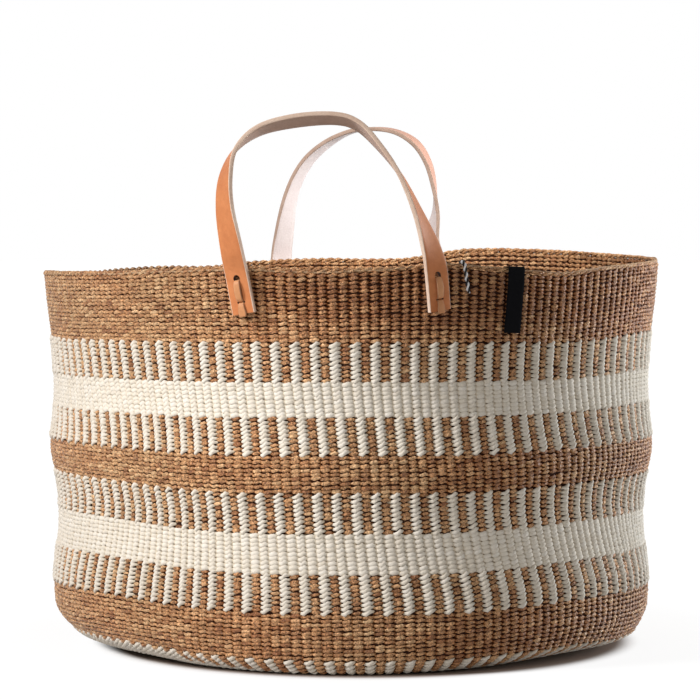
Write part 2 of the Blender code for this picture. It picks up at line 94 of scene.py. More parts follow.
# The weave. Rows per band, the yarn of its first strand, which passes outside the even
# warps, and of its second, and whether the white yarn has changed to the odd warps.
WARPS = 206
WEAVES = {
    "heel_stripe_band": (4, "white", "tan", True),
    "lower_tan_band": (11, "tan", "tan", False),
    "lower_stripes_under": (9, "white", "tan", True),
    "lower_cream_band": (9, "white", "white", True),
    "lower_stripes_over": (9, "white", "tan", True),
    "middle_tan_band": (9, "tan", "tan", False),
    "upper_stripes_under": (9, "white", "tan", False),
    "upper_cream_band": (8, "white", "white", False),
    "upper_stripes_over": (9, "white", "tan", False),
    "rim_tan_band": (17, "tan", "tan", False),
}
SLOTS = {
    ("tan", "tan"): "tan_paper_yarn",
    ("white", "white"): "cream_wool",
    ("white", "tan"): "striped_yarns",
}
# Where a strand has its points, in warps from the middle of each stitch
STITCH_PLACES = (-0.38, -0.15, 0.15, 0.38)
STRAND_SIDES = 6
LEAST_HEIGHT = 0.0001

# How the weave wanders, set every 24 degrees round the front at some heights: the degrees by which
# its columns are off even spacing, and the millimetres by which its rows ride up
FRONT_ANGLES = (-72, -48, -24, 0, 24, 48, 72)
WARP_SHIFTS = (
    (0.01, (4.0, 3.5, 1.5, 3.0, 4.5, 5.5, 6.5)),
    (0.06, (4.0, 4.5, 2.0, 2.5, 4.0, 5.0, 7.0)),
    (0.12, (6.0, 6.5, 1.5, 1.0, 1.5, 1.5, 2.5)),
    (0.17, (6.5, 6.0, 1.0, 0.5, 0.0, 0.5, 2.5)),
    (0.23, (3.5, 2.0, -1.0, -1.0, -1.0, -1.5, 1.5)),
    (0.30, (1.5, 0.0, -2.0, -1.5, -1.0, -1.5, 1.0)),
)
ROW_LIFTS = (
    (0.014, (2.0, 4.0, -0.5, -2.0, -1.5, 1.0, -1.5)),
    (0.06, (5.5, 6.0, 1.0, -0.5, 0.0, 4.0, 4.5)),
    (0.14, (4.5, 4.0, -0.5, 0.0, 0.0, 3.0, 3.5)),
    (0.20, (0.5, 0.5, 0.0, 1.0, 1.0, 2.0, 4.0)),
    (0.26, (-1.0, -0.5, 0.0, 0.5, 0.0, -0.5, 4.0)),
    (0.316, (0.0,) * 7),
)
# How far single warps wander sideways, in degrees, how far rows wander up and down, at
# least and more for an uneven yarn, and in which waves
WARP_WANDER = 0.09
ROW_WANDER = (0.00005, 0.00016)
ROW_WAVES = (3, 5, 9, 17, 31, 47)

# Where something starts, is full, starts to fade and is gone, in degrees: the loose weave
# of the rim's right side, the ribbed one below it, the tight one of the left side, the
# heel that reaches down to the floor, and the thread that shows on the rim
LOOSE_SIDE = (-35, 20, 95, 120)
RIBBED_SIDE = (0, 28, 95, 120)
TIGHT_SIDE = (-130, -100, -45, -8)
REACHING_SIDE = (0, 30, 100, 140)
THREAD_SIDE = (10, 18, 95, 110)
LOOSE_HEIGHTS = (0.262, 0.302)
TIGHT_BACK = (115, 135)
# How far down the loose weave reaches at its loosest, how loose it is elsewhere, and
# how ribbed the wall is and how tight its back
LOOSE_DROP = 0.012
LOOSE_LEAST = 0.2
RIBBED_MOST = 0.45
TIGHT_BACK_MOST = 0.35

# How far the wall turns in towards its foot below a height, in millimetres at the same
# angles and at one drop below that height, and for how many drops it goes on
CORNER_HEIGHT = 0.036
CORNER_DROP = 0.021
CORNER_TURN_IN = (12.0, 9.0, 2.0, 0.0, 1.0, 4.5, 5.0)
CORNER_DROPS = 1.2

# The sole: how far out it meets the floor as shares of the foot's radius at the same
# angles, the height of its middle, and the way along it from the heel to the centre
FOOT_RADIUS = 0.2418
SOLE_SHARES = (0.85, 0.845, 0.945, 1.0, 0.95, 0.83, 0.80)
SOLE_HEIGHT = 0.0034
SOLE_PATH = 0.256
SOLE_ROW_PITCH = 0.0040
SOLE_BEND_SHARE = 1.06
# How far the stripes of the heel lean towards the middle of the front, in degrees, at
# its left and its right, how far they reach down to the floor at most, as a share, how
# much they stretch for it, and the angles between which only its top row has any tan yarn
HEEL_TOP = WALL_HEIGHT * BANDS[0][1]
HEEL_LEANS = (2.0, 1.2)
HEEL_MIDDLE = 7
HEEL_REACH = 0.8
HEEL_STRETCH = 1.8
PLAIN_HEEL = (-110, -36)
PLAIN_HEEL_SHARE = 0.7
# Fewer warps nearer the middle: (from this share of the way out, warps)
SOLE_WARPS = (
    (0.72, 206), (0.52, 152), (0.37, 106), (0.25, 72), (0.17, 48), (0.11, 32), (0.06, 20),
    (0.0, 10),
)

# The warps of a band as one ribbed shell, and those of the sole as a plain one
SHELL_POINTS_PER_WARP = 4
SHELL_HALF = 0.0001
SHELL_RIB = 0.0007
SOLE_SHELL_HALF = 0.0004
SOLE_SHELL_SIDES = 240
SOLE_SHELL_ROWS = 40
SOLE_SHELL_SHARE = 0.995

# One yarn in one kind of weave, lengths in millimetres: how far its middle swings out
# and in, how far out it sits, how far it climbs over a warp, how much more it slants
# right on the warp, half its height and depth on a warp, the same between warps, how
# sharply it turns in between warps and how quickly it thins there, and how uneven it is
Yarn = namedtuple("Yarn", "swing seat climb slant tall deep low thin turn taper uneven")
YARNS = {
    ("tan", "tan"): Yarn(1.05, 0.0, 0.36, 0.18, 1.86, 1.35, 0.86, 1.10, 0.32, 0.90, 1.3),
    ("white", "white"): Yarn(1.50, 0.0, 0.65, 0.45, 2.50, 1.60, 0.95, 1.10, 0.42, 0.85, 0.7),
    ("white", "tan"): Yarn(1.75, 0.6, 1.35, 0.35, 2.30, 1.60, 0.65, 0.95, 0.45, 0.85, 0.7),
    ("tan", "white"): Yarn(1.50, -0.2, 0.30, 0.15, 1.85, 1.20, 0.40, 0.65, 0.60, 1.00, 1.4),
}
HEEL_YARNS = {
    "white": Yarn(1.50, 0.25, 0.90, 0.30, 2.25, 1.45, 0.65, 0.90, 0.42, 0.80, 0.5),
    "tan": Yarn(1.50, 0.10, 0.50, 0.20, 2.15, 1.40, 0.65, 0.90, 0.42, 0.80, 0.8),
}
# The second cream strand lies flatter and broader than the one of the stripes
FLAT_CREAM = Yarn(1.35, 0.0, 0.30, 0.15, 2.55, 1.50, 1.05, 1.20, 0.36, 0.80, 0.7)
# What a loose weave and a tight one add to a yarn's sizes, as shares
CHANGES = {"swing": (0.35, -0.38), "low": (-0.35, 0.05), "thin": (-0.3, 0.25), "tall": (0.0, -0.03)}
LOOSE_TAPER = 0.6
# How much less painted shade the hollows of a tight weave get, as a share
TIGHT_SHADE_LOSS = 0.08
# How a stitch of a yarn of unevenness 1 strays: in millimetres up, and else as shares.
# Then how each of its points does: out, up, in height.
STRAYS = {"swing": 0.07, "climb": 0.15, "up": 0.15, "tall": 0.08, "deep": 0.08, "slant": 0.6}
JITTER = (0.06, 0.08, 0.06)
# How light stitches are from 0 to 1, how much that varies, and how much painted shade darkens loose
# ones, which lie mostly on the basket's shaded right side
TONE, TONE_SPREAD = 0.5, 0.2
LOOSE_PAINTED_SHADE, LOOSE_FROM, LOOSE_MOST = 0.8, 0.25, 0.4

# The rope of two yarns that closes the rim, and the thin thread laid along it, in
# millimetres: out and down from the rim's middle, how far its yarns swing and half their
# size, and how deep it is hidden where it doesn't show. Unevenness is in metres.
Rope = namedtuple("Rope", "name out down swing yarn hidden uneven")
RIM_ROPE = Rope("rim_rope_yarn", 0.0, 1.9, 1.15, 1.40, 0.0, 0.0002)
RIM_THREAD = Rope("rim_thread_ply", 1.35, 0.35, 0.38, 0.45, 2.0, 0.0004)
ROPE_PLACES = tuple((k + 0.5) / 6 - 0.5 for k in range(6))
ROPE_RISE_WAVES = (2, 5, 7, 13, 23, 41)
ROPE_SWAY_WAVES = (3, 4, 9, 15, 27)
ROPE_STRAY = 0.12
LOOSE_ROPE_LOSS = 0.3

# The strap handles, as the CAD has them
STRAP_WIDTH = 0.020
STRAP_THICKNESS = 0.0036
HALF_SPAN = 0.075
END_DROP = 0.0360
FLUSH_LENGTH = 0.030
ARCH_RISE = 0.1014
ARCH_LEAN = 0.010
FOLD_RADIUS = 0.011
STRAP_SAMPLES = 12
# The angle round the basket of each handle, the shares across and up and the twist along
# its arch, the shares across and the twist at its hinges, and how its ends are turned
FRONT_ARCH_SHARES = (
    (-1.127, 0.0, 57), (-1.196, 0.305, 41), (-1.190, 0.545, 27), (-1.093, 0.752, 3),
    (-0.853, 0.900, -15), (-0.480, 0.972, -22), (-0.080, 0.990, -20), (0.160, 0.938, -16),
    (0.367, 0.790, -9), (0.593, 0.564, 1), (0.785, 0.266, 16), (0.915, 0.0, 41),
)
BACK_ARCH_SHARES = (
    (-0.887, 0.0, 46), (-0.950, 0.245, 13), (-0.930, 0.480, -5), (-0.852, 0.707, -13),
    (-0.700, 0.880, -15), (-0.450, 0.985, -7), (-0.150, 1.010, -2), (0.120, 0.980, 3),
    (0.420, 0.860, 15), (0.667, 0.676, 24), (0.840, 0.400, 31), (0.935, 0.0, 54),
)
HANDLES = (
    ("front", 0, FRONT_ARCH_SHARES, ((-1.127, 57), (0.945, 48)), (11, 20)),
    ("back", 180, BACK_ARCH_SHARES, ((-0.887, 46), (0.935, 54)), (10, 10)),
)

# The cut edges of strips: the size of their corners and the angle that stays sharp
STRAP_CORNER = 0.0006
LACE_CORNER = 0.0005
LABEL_CORNER = 0.0003
CORNER_SOFT_SHARE = 0.3
SHARP_ANGLE = 50

# The laces
LACE_WIDTH = 0.0058
LACE_THICKNESS = 0.0016
LACE_HOLE_FROM_END = 0.0255
LACE_SLOT_FROM_END = 0.009
LACE_TAIL_PAST_END = 0.0018
LACE_TIP_SHARE = 0.86
LACE_SAMPLES = 4
HOLE_RADIUS = 0.0029
HOLE_RAISE_SHARE = 0.7
SLOT_HALF_HEIGHT = 0.0014

# The label and the marker yarn
LABEL_ANGLE = 31.2
LABEL_WIDTH = 0.0148
LABEL_THICKNESS = 0.0008
LABEL_OUTSIDE = 0.050
LABEL_INSIDE = 0.014
LABEL_GAP = 0.0007
LABEL_SLOPE_SHARE = 0.35
LABEL_STEPS = 10
LABEL_BEND_START = 0.003
LABEL_BEND_RADIUS = 0.002
LABEL_BEND_STEPS = 5
LABEL_WAVE = (0.012, 1.7)
MARKER_FROM_STRAP = 0.0186
MARKER_LEAN = 1.0
MARKER_RADIUS = 0.00115
MARKER_OUTSIDE = 0.0225
MARKER_INSIDE = 0.014
MARKER_GAP = 0.0006
MARKER_TWIST = 0.0078
MARKER_AROUND = 20
MARKER_BEND_STEPS = 6
MARKER_RINGS = 120
PLY_SIDES = 8
PLY_SHARE = 0.76
PLY_SWING_SHARE = 0.66
PLY_TIP_SHARE = 0.05

# The floor, with the oval on which the foot meets it as one over its half lengths, and
# the light that comes from all around
WHITE = (1.0, 1.0, 1.0)
FLOOR_HALF = 60.0
FLOOR_DROP = 0.0002
FOOT_PRINT = (1 / 0.210, 1 / 0.242, 1.0)
FOOT_SHIFT = (-0.06, 0.0, 0.0)
# The colour of the painted contact shadow on the floor under and round the foot
FLOOR_PAINTED_SHADOW = (0.31, 0.245, 0.21)
FLOOR_BOUNCE = (0.68, 0.68, 0.68)
FLOOR_GLOW = 1.06
WORLD_COLOUR = (1.0, 0.955, 0.91)
WORLD_STRENGTH = 0.27

# The lamps. The size of a disk is in metres, and that of a spot is its cone in degrees.
Lamp = namedtuple("Lamp", "name kind place target size power colour")
BASKET_MIDDLE = (0.0, 0.0, 0.15)
LAMPS = (
    Lamp("key", "AREA", (-2.36, -1.29, 1.7), BASKET_MIDDLE, 0.7, 67.0, (1.0, 0.985, 0.995)),
    Lamp("side", "AREA", (2.05, 1.00, 0.5), BASKET_MIDDLE, 1.0, 47.0, (0.90, 0.95, 1.0)),
    Lamp("back_fill", "SPOT", (0.9, -1.0, 1.1), (0.03, 0.25, 0.33), 20, 100.0, WHITE),
    Lamp("front_fill", "SPOT", (-1.2, -2.5, 1.2), (-0.115, -0.24, 0.20), 9.5, 165.0, WHITE),
)
SPOT_SOFTNESS = 0.12

# The camera, turned round the basket and tipped down, in degrees
CAMERA_AZIMUTH = 1.6
CAMERA_PITCH = 1.95
CAMERA_DISTANCE = 2.73
CAMERA_HEIGHT = 0.3374
CAMERA_LENS = 165.8
CAMERA_SHIFT = -0.0014
CAMERA_REACH = 50.0


# Smooth curves


def smooth_between(before, start, end, after, share):
    """A curve from start to end that also heeds the values on either side."""
    square = share * share
    cube = square * share
    return (
        start * (2 - 5 * square + 3 * cube)
        + end * (share + 4 * square - 3 * cube)
        + before * (2 * square - share - cube)
        + after * (cube - square)
    ) / 2


def smooth_path(points, samples):
    """More rows along a smooth curve through rows of numbers."""
    rows = np.asarray(points, float)
    last = len(rows) - 1
    made = []
    for i in range(last):
        near = [rows[min(max(i + k, 0), last)] for k in (-1, 0, 1, 2)]
        made += [smooth_between(*near, step / samples) for step in range(samples)]
    return np.array(made + [rows[-1]])


def round_curve(knots, values, angles):
    """Values at angles in degrees on a closed curve through values at knots."""
    knots = np.asarray(knots, float)
    values = np.asarray(values, float)
    angles = (np.asarray(angles, float) - knots[0]) % 360 + knots[0]
    ends = np.append(knots[1:], knots[0] + 360)
    i = np.clip(np.searchsorted(knots, angles, side="right") - 1, 0, len(knots) - 1)
    share = (angles - knots[i]) / (ends[i] - knots[i])
    near = [values[(i + k) % len(knots)] for k in (-1, 0, 1, 2)]
    return smooth_between(*near, share)


def stacked_curve(levels, angles, z):
    """The same on the curves of a table of heights, blended between two heights."""
    heights = [height for height, _ in levels]
    z = min(max(z, heights[0]), heights[-1])
    i = min(max(int(np.searchsorted(heights, z)) - 1, 0), len(heights) - 2)
    share = (z - heights[i]) / (heights[i + 1] - heights[i])
    low, high = (round_curve(FRONT_ANGLES, levels[i + k][1], angles) for k in (0, 1))
    return low + (high - low) * share


def step_between(low, high, value):
    """0 below low, 1 above high, smooth between."""
    share = np.clip((value - low) / (high - low), 0.0, 1.0)
    return share * share * (3 - 2 * share)


def window(angles, start, full, fading, gone):
    """1 where something is full, 0 before its start and where it is gone."""
    return step_between(start, full, angles) * (1 - step_between(fading, gone, angles))


def signed(angles):
    """The same angles, from -180 up to 180 degrees."""
    return (angles + 180) % 360 - 180


# Where the wall is


def band_floors():
    floors, height = {}, 0.0
    for name, share, _, _ in BANDS:
        floors[name] = height
        height += WALL_HEIGHT * share
    return floors


def wall_radius(z):
    """Outer radius of the wall at a height."""
    below, floor = FLOOR_RADIUS_SHARE, 0.0
    for name, height_share, middle, top in BANDS:
        rise = WALL_HEIGHT * height_share
        if z <= floor + rise or name == BANDS[-1][0]:
            break
        below = top
        floor += rise
    share = min(max((z - floor) / rise, 0.0), 1.0)
    bend = 2 * (below + top - 2 * middle)
    return RIM_RADIUS * (below + (top - below - bend) * share + bend * share * share)


def rim_rise(angles):
    knots, shares = zip(*RIM_RISE_SHARES)
    return RIM_RISE * round_curve(knots, shares, angles)


def rim_share(z):
    """How much of the rim's rise a row at a height shares."""
    floor = WALL_HEIGHT * (1 - BANDS[-1][1] - BANDS[-2][1])
    return min(max((z - floor) / (WALL_HEIGHT * BANDS[-2][1]), 0.0), 1.0)


def warp_angles(warps, z):
    """The angle of each warp number at a height."""
    real = np.arange(-360.0, 721.0, 1.0)
    even = real - stacked_curve(WARP_SHIFTS, real, z)
    rng = np.random.default_rng([SEED, 3])
    low, high = rng.normal(size=(2, WARPS)).clip(-2, 2) * WARP_WANDER
    share = min(max(z / WALL_HEIGHT, 0.0), 1.0)
    wander = np.interp(warps % WARPS, np.arange(WARPS), low * (1 - share) + high * share)
    return np.interp(warps * 360 / WARPS, even, real) + wander


def row_lift(angles, z):
    lift = stacked_curve(ROW_LIFTS, angles, z) / 1000
    return lift + rim_rise(angles) * rim_share(z)


def corner(angles, heights):
    """How far the wall turns in at heights near its foot, and how steeply."""
    most = round_curve(FRONT_ANGLES, CORNER_TURN_IN, angles) / 1000
    below = np.clip((CORNER_HEIGHT - heights) / CORNER_DROP, 0.0, CORNER_DROPS)
    return most * below**2, 2 * most * below / CORNER_DROP


def middle_radius(z, inwards=0.0):
    """The radius of the middle of the wall's thickness."""
    return wall_radius(z) - WALL_THICKNESS / 2 - inwards


def looseness(angles, z):
    """How loose and ribbed the weave is: most at the right of the rim."""
    right = window(signed(angles), *LOOSE_SIDE)
    near_rim = step_between(*LOOSE_HEIGHTS, z + LOOSE_DROP * right)
    near_rim = near_rim * (LOOSE_LEAST + (1 - LOOSE_LEAST) * right)
    return np.maximum(near_rim, RIBBED_MOST * window(signed(angles), *RIBBED_SIDE))


def tightness(angles):
    """How closely the yarns lie together: most at the left of the front."""
    back = step_between(*TIGHT_BACK, np.abs(signed(angles)))
    return np.maximum(window(signed(angles), *TIGHT_SIDE), TIGHT_BACK_MOST * back)


def spots(rng, count, waves, size):
    """A smooth closed line of random bumps, with values at count even places."""
    turn = np.arange(count) / count * math.tau
    line = np.zeros(count)
    for wave in waves:
        line += rng.normal() * np.cos(turn * wave + rng.uniform(0, math.tau))
    return line * size / math.sqrt(len(waves))


def at_angles(angles, radius, z):
    turn = np.radians(angles)
    return np.stack([radius * np.sin(turn), -radius * np.cos(turn), z + 0 * turn], axis=-1)


def around(angle, radius, z):
    """The point at an angle in degrees round the basket."""
    return Vector(at_angles(angle, radius, z))


# Materials


class Nodes:
    """A node tree, with a short call for each kind of node used here."""

    def __init__(self, tree):
        self.tree = tree

    def node(self, kind, inputs=None, **settings):
        made = self.tree.nodes.new("ShaderNode" + kind)
        for name, value in settings.items():
            setattr(made, name, value)
        for name, value in (inputs or {}).items():
            self.feed(made.inputs[name], value)
        return made

    def feed(self, socket, value):
        """Links an output to a socket, or gives it a number or a colour."""
        if isinstance(value, bpy.types.NodeSocket):
            self.tree.links.new(value, socket)
        else:
            socket.default_value = (*value, 1.0) if socket.type == "RGBA" else value

    def ramp(self, source, stops):
        made = self.node("ValToRGB", {"Fac": source})
        elements = made.color_ramp.elements
        while len(elements) < len(stops):
            elements.new(0.5)
        for element, (place, colour) in zip(elements, stops):
            element.position = place
            element.color = (*colour, 1.0)
        return made.outputs["Color"]

    def map_range(self, value, source, target, kind="SMOOTHSTEP"):
        """A value moved from one range to another."""
        inputs = dict(zip(("From Min", "From Max", "To Min", "To Max"), (*source, *target)))
        made = self.node("MapRange", {"Value": value, **inputs}, interpolation_type=kind)
        return made.outputs["Result"]

    def combine(self, operation, first, second):
        return self.node("Math", {0: first, 1: second}, operation=operation).outputs[0]

    def mix(self, first, second, share, blend="MIX"):
        inputs = {0: share, 6: first, 7: second}
        return self.node("Mix", inputs, data_type="RGBA", blend_type=blend).outputs[2]

    def mix_shaders(self, share, first, second):
        inputs = {0: share, 1: first.outputs[0], 2: second.outputs[0]}
        return self.node("MixShader", inputs)

    def seen(self):
        """1 for what the camera sees, also in gloss, and 0 for light on other things."""
        rays = self.node("LightPath").outputs
        return self.combine("MAXIMUM", rays["Is Camera Ray"], rays["Is Glossy Ray"])


class Look(Nodes):
    """The nodes of a new material, with textures placed on the object."""

    def __init__(self, name, roughness, specular=0.5):
        self.material = bpy.data.materials.new(name)
        self.material.use_nodes = True
        super().__init__(self.material.node_tree)
        self.shader = self.tree.nodes["Principled BSDF"]
        self.place = self.node("TexCoord").outputs["Object"]
        self.shade("Roughness", roughness)
        self.shade("Specular IOR Level", specular)

    def shade(self, name, value):
        self.feed(self.shader.inputs[name], value)

    def attribute(self, name):
        return self.node("Attribute", attribute_name=name).outputs["Fac"]

    def noise(self, scale, detail=2.0, roughness=0.5, distortion=0.0):
        values = dict(Scale=scale, Detail=detail, Roughness=roughness, Distortion=distortion)
        return self.node("TexNoise", {"Vector": self.place, **values}).outputs["Fac"]

    def tones(self, *colours):
        """Colours for dark, plain and light stitches."""
        return self.ramp(self.attribute("tone"), tuple(zip((0.1, 0.5, 0.9), colours)))

    def multiply(self, first, second, share=1.0):
        return self.mix(first, second, share, "MULTIPLY")

    def bump(self, height, strength, distance, under=None):
        """Makes the surface uneven, over the bump of another height."""
        inputs = {"Height": height, "Strength": strength, "Distance": distance}
        if under:
            inputs["Normal"] = under
        made = self.node("Bump", inputs).outputs["Normal"]
        self.shade("Normal", made)
        return made


def make_tan_yarn(name):
    """Crumpled paper yarn: stitches lighter and darker than others, darker still with painted shade
    where loose, painted shade and highlight on its creases, and painted shade in the weave's hollows.
    """
    look = Look(name, roughness=0.46)
    depth = look.attribute("depth")
    creases = look.noise(560.0, 3.0, 0.7, 1.2)
    facets = look.node("TexVoronoi", {"Vector": look.place, "Scale": 480.0}, feature="F1")
    base = look.tones((0.48, 0.215, 0.092), (0.74, 0.40, 0.19), (0.96, 0.60, 0.32))
    # Painted shade in the hollows of the creases and painted highlight on their ridges, less of it on
    # lighter stitches
    dark, plain, light = (0.26, 0.18, 0.13), (0.90, 0.88, 0.85), (1.42, 1.40, 1.36)
    crease_shade_and_highlight = look.ramp(creases, ((0.37, dark), (0.50, plain), (0.65, light)))
    much = look.map_range(look.attribute("tone"), (0.45, 0.95), (0.95, 0.65))
    colour = look.multiply(base, crease_shade_and_highlight, much)
    tint = look.ramp(look.noise(9.0), ((0.35, (1.04, 0.97, 0.92)), (0.65, (0.96, 1.02, 1.04))))
    colour = look.multiply(colour, tint, 0.8)
    # Painted shade in the weave's hollows, from how deep each point lies, where the gloss fades out
    # too
    shadow, deepest_shade = (0.60, 0.45, 0.34), (0.05, 0.016, 0.009)
    painted_crevice_shade = look.ramp(depth, ((0.38, WHITE), (0.62, shadow), (0.77, deepest_shade)))
    look.shade("Base Color", look.multiply(colour, painted_crevice_shade))
    look.shade("Specular IOR Level", look.map_range(depth, (0.3, 0.65), (0.45, 0.0)))
    fine = look.bump(creases, 1.0, 0.0020)
    look.bump(facets.outputs["Distance"], 0.8, 0.0014, fine)
    return look.material


def make_white_yarn(name):
    """Thick cream wool: soft, slightly fuzzy, with painted shade in the weave's hollows."""
    look = Look(name, roughness=0.9, specular=0.2)
    fuzz = look.noise(900.0, 3.0, 0.7, 0.4)
    plies = look.noise(420.0, 2.0, 0.6, 0.6)
    base = look.tones((0.72, 0.65, 0.545), (0.765, 0.70, 0.60), (0.795, 0.74, 0.655))
    soft = look.ramp(fuzz, ((0.3, (0.88, 0.87, 0.84)), (0.6, WHITE)))
    # Painted shade in the weave's hollows, from how deep each point lies
    shadow, deepest_shade = (0.90, 0.85, 0.74), (0.55, 0.46, 0.34)
    painted_crevice_shade = look.ramp(look.attribute("depth"), ((0.35, WHITE), (0.70, shadow), (1.0, deepest_shade)))
    look.shade("Base Color", look.multiply(look.multiply(base, soft, 0.7), painted_crevice_shade))
    look.shade("Sheen Weight", 0.15)
    look.shade("Sheen Roughness", 0.6)
    look.bump(plies, 0.5, 0.0006, look.bump(fuzz, 0.5, 0.0004))
    return look.material


def make_fibre(name, dark, light, scale=500.0, spread=0.15, bump=(0.5, 0.0005), specular=0.2):
    """Spun fibre with darker and lighter spots."""
    look = Look(name, 0.85, specular)
    fibre = look.noise(scale, 3.0, 0.6)
    look.shade("Base Color", look.ramp(fibre, ((0.5 - spread, dark), (0.5 + spread, light))))
    look.bump(fibre, *bump)
    return look.material


def make_ply(name, dark, light):
    return make_fibre(name, dark, light, 1600.0, 0.2, (0.4, 0.0002), 0.25)


def make_grain(name, dark, light, roughness=0.5):
    """Vegetable-tanned grain side: mottled, with fine pores, a soft gloss and painted shade in its
    creases.
    """
    look = Look(name, roughness, specular=0.16)
    mottle = look.noise(34.0, 4.0, 0.6, 0.4)
    pores = look.noise(1500.0, 2.0, 0.6)
    creases = look.noise(260.0, 3.0, 0.55, 0.5)
    base = look.ramp(mottle, ((0.32, dark), (0.68, light)))
    # Painted shade in the hollows of the creases, slightly lighter on their ridges
    crease_shade_and_highlight = look.ramp(creases, ((0.35, (0.93, 0.90, 0.88)), (0.6, (1.03, 1.02, 1.01))))
    look.shade("Base Color", look.multiply(base, crease_shade_and_highlight, 0.8))
    rough = (roughness - 0.08, roughness + 0.10)
    look.shade("Roughness", look.map_range(mottle, (0.0, 1.0), rough, "LINEAR"))
    look.bump(creases, 0.2, 0.0004, look.bump(pores, 0.25, 0.0002))
    return look.material


def make_flesh(name, dark, light):
    """The suede side or a cut edge: pale, matte and fibrous."""
    look = Look(name, roughness=0.9, specular=0.2)
    fibre = look.noise(700.0, 4.0, 0.7)
    base = look.ramp(look.noise(45.0, 3.0, 0.6), ((0.3, dark), (0.7, light)))
    nap = look.ramp(fibre, ((0.3, (0.84, 0.82, 0.80)), (0.62, WHITE)))
    look.shade("Base Color", look.multiply(base, nap, 0.8))
    look.shade("Sheen Weight", 0.2)
    look.bump(fibre, 0.5, 0.0004)
    return look.material


def make_ribbon(name, dark, light):
    """A tight black woven ribbon: fine ribs both ways."""
    look = Look(name, roughness=0.8, specular=0.04)
    inputs = {"Vector": look.place, "Scale": 420.0, "Distortion": 0.6}
    ribs = look.node("TexWave", inputs, wave_type="BANDS", bands_direction="Z")
    height = look.mix(ribs.outputs["Color"], look.noise(1300.0, 2.0, 0.6), 0.45)
    look.shade("Base Color", look.ramp(height, ((0.25, dark), (0.8, light))))
    look.bump(height, 0.5, 0.0003)
    return look.material


# The name and the function of each material, and its colours, the darker one first
LOOKS = {
    # The warps behind the tan bands: a near-black copy of the pale warp, painted shade for the gaps
    # between stitches
    "painted_shade_warp": ("warp_fibre_painted_shade", make_fibre, (0.022, 0.006, 0.003), (0.050, 0.017, 0.008)),
    "pale_warp": ("warp_fibre_pale", make_fibre, (0.30, 0.22, 0.14), (0.48, 0.38, 0.25)),
    "thread": ("rim_thread", make_fibre, (0.34, 0.20, 0.11), (0.62, 0.43, 0.26)),
    "front_grain": ("front_strap_grain", make_grain, (0.51, 0.172, 0.060), (0.62, 0.240, 0.094)),
    "back_grain": ("back_strap_grain", make_grain, (0.50, 0.260, 0.180), (0.61, 0.345, 0.250)),
    # The front strap's flesh is darker, with painted shade, and the back strap's paler, with painted
    # light: shaded and lit copies of one flesh side
    "front_flesh": ("front_strap_flesh", make_flesh, (0.50, 0.33, 0.25), (0.62, 0.43, 0.34)),
    "back_flesh": ("back_strap_flesh", make_flesh, (0.76, 0.655, 0.63), (0.83, 0.745, 0.72)),
    "front_edge": ("front_strap_cut_edge", make_flesh, (0.78, 0.56, 0.43), (0.88, 0.70, 0.56)),
    "back_edge": ("back_strap_cut_edge", make_flesh, (0.42, 0.29, 0.22), (0.54, 0.39, 0.31)),
    # The walls of the lace holes: near black, painted shade in place of pale cut leather
    "hole": ("strap_hole_painted_shade", make_flesh, (0.050, 0.024, 0.014), (0.09, 0.045, 0.028)),
    "lace": ("lace_grain", make_grain, (0.52, 0.225, 0.095), (0.63, 0.315, 0.150), 0.38),
    "lace_edge": ("lace_cut_edge", make_flesh, (0.36, 0.17, 0.08), (0.50, 0.26, 0.13)),
    "label": ("label_ribbon_black", make_ribbon, (0.0015, 0.0015, 0.002), (0.008, 0.008, 0.0095)),
    "marker_white": ("marker_white", make_ply, (0.80, 0.79, 0.79), (0.92, 0.92, 0.93)),
    "marker_black": ("marker_black", make_ply, (0.006, 0.006, 0.007), (0.03, 0.03, 0.032)),
}


def make_materials():
    made = {"tan": make_tan_yarn("tan_paper_yarn"), "white": make_white_yarn("cream_wool_yarn")}
    for key, (name, make, *values) in LOOKS.items():
        made[key] = make(name, *values)
    return made


# Meshes


def add_object(name, data):
    ob = bpy.data.objects.new(name, data)
    bpy.context.scene.collection.objects.link(ob)
    return ob


def object_from(name, work):
    """An object of what was built in a bmesh."""
    data = bpy.data.meshes.new(name)
    work.to_mesh(data)
    work.free()
    return add_object(name, data)


def mesh_object(name, points, faces, materials, zones=None, tones=None, depths=None):
    """An object of quads, with the material of each face and two values of each point."""
    data = bpy.data.meshes.new(name)
    points = np.asarray(points, np.float32).reshape(-1, 3)
    faces = np.asarray(faces, np.int32)
    corners = faces.shape[1]
    data.vertices.add(len(points))
    data.vertices.foreach_set("co", points.ravel())
    data.loops.add(faces.size)
    data.loops.foreach_set("vertex_index", faces.ravel())
    data.polygons.add(len(faces))
    data.polygons.foreach_set("loop_start", np.arange(0, faces.size, corners, dtype=np.int32))
    for label, values in (("tone", tones), ("depth", depths)):
        if values is not None:
            made = data.attributes.new(label, "FLOAT", "POINT")
            made.data.foreach_set("value", np.asarray(values, np.float32).ravel())
    data.update(calc_edges=True)
    data.shade_smooth()
    for material in materials:
        data.materials.append(material)
    if zones is not None:
        data.polygons.foreach_set("material_index", np.asarray(zones, np.int32))
    return add_object(name, data)


def tube_faces(rings, sides, tubes=1, closed=True):
    """Faces of tubes whose points run tube by tube, ring by ring."""
    ring = np.arange(rings if closed else rings - 1)[:, None]
    side = np.arange(sides)[None, :]
    after_ring, after_side = (ring + 1) % rings, (side + 1) % sides
    corners = ((ring, side), (after_ring, side), (after_ring, after_side), (ring, after_side))
    quads = np.stack([along * sides + round_it for along, round_it in corners], axis=-1)
    shift = np.arange(tubes)[:, None, None] * rings * sides
    return (quads.reshape(1, -1, 4) + shift).reshape(-1, 4)


def full_turn(sides):
    """Angles in radians at even places round a tube."""
    return np.arange(sides) / sides * math.tau


# Twined strands


def points_along(warps, places=STITCH_PLACES):
    """Where a strand has its points, counted in warps."""
    return (np.arange(warps)[:, None] + np.array(places)).ravel()


def stitch_tones(rng, warps, points):
    """The tone of each stitch, for each of its points."""
    return np.repeat(TONE + TONE_SPREAD * rng.normal(size=warps), points)


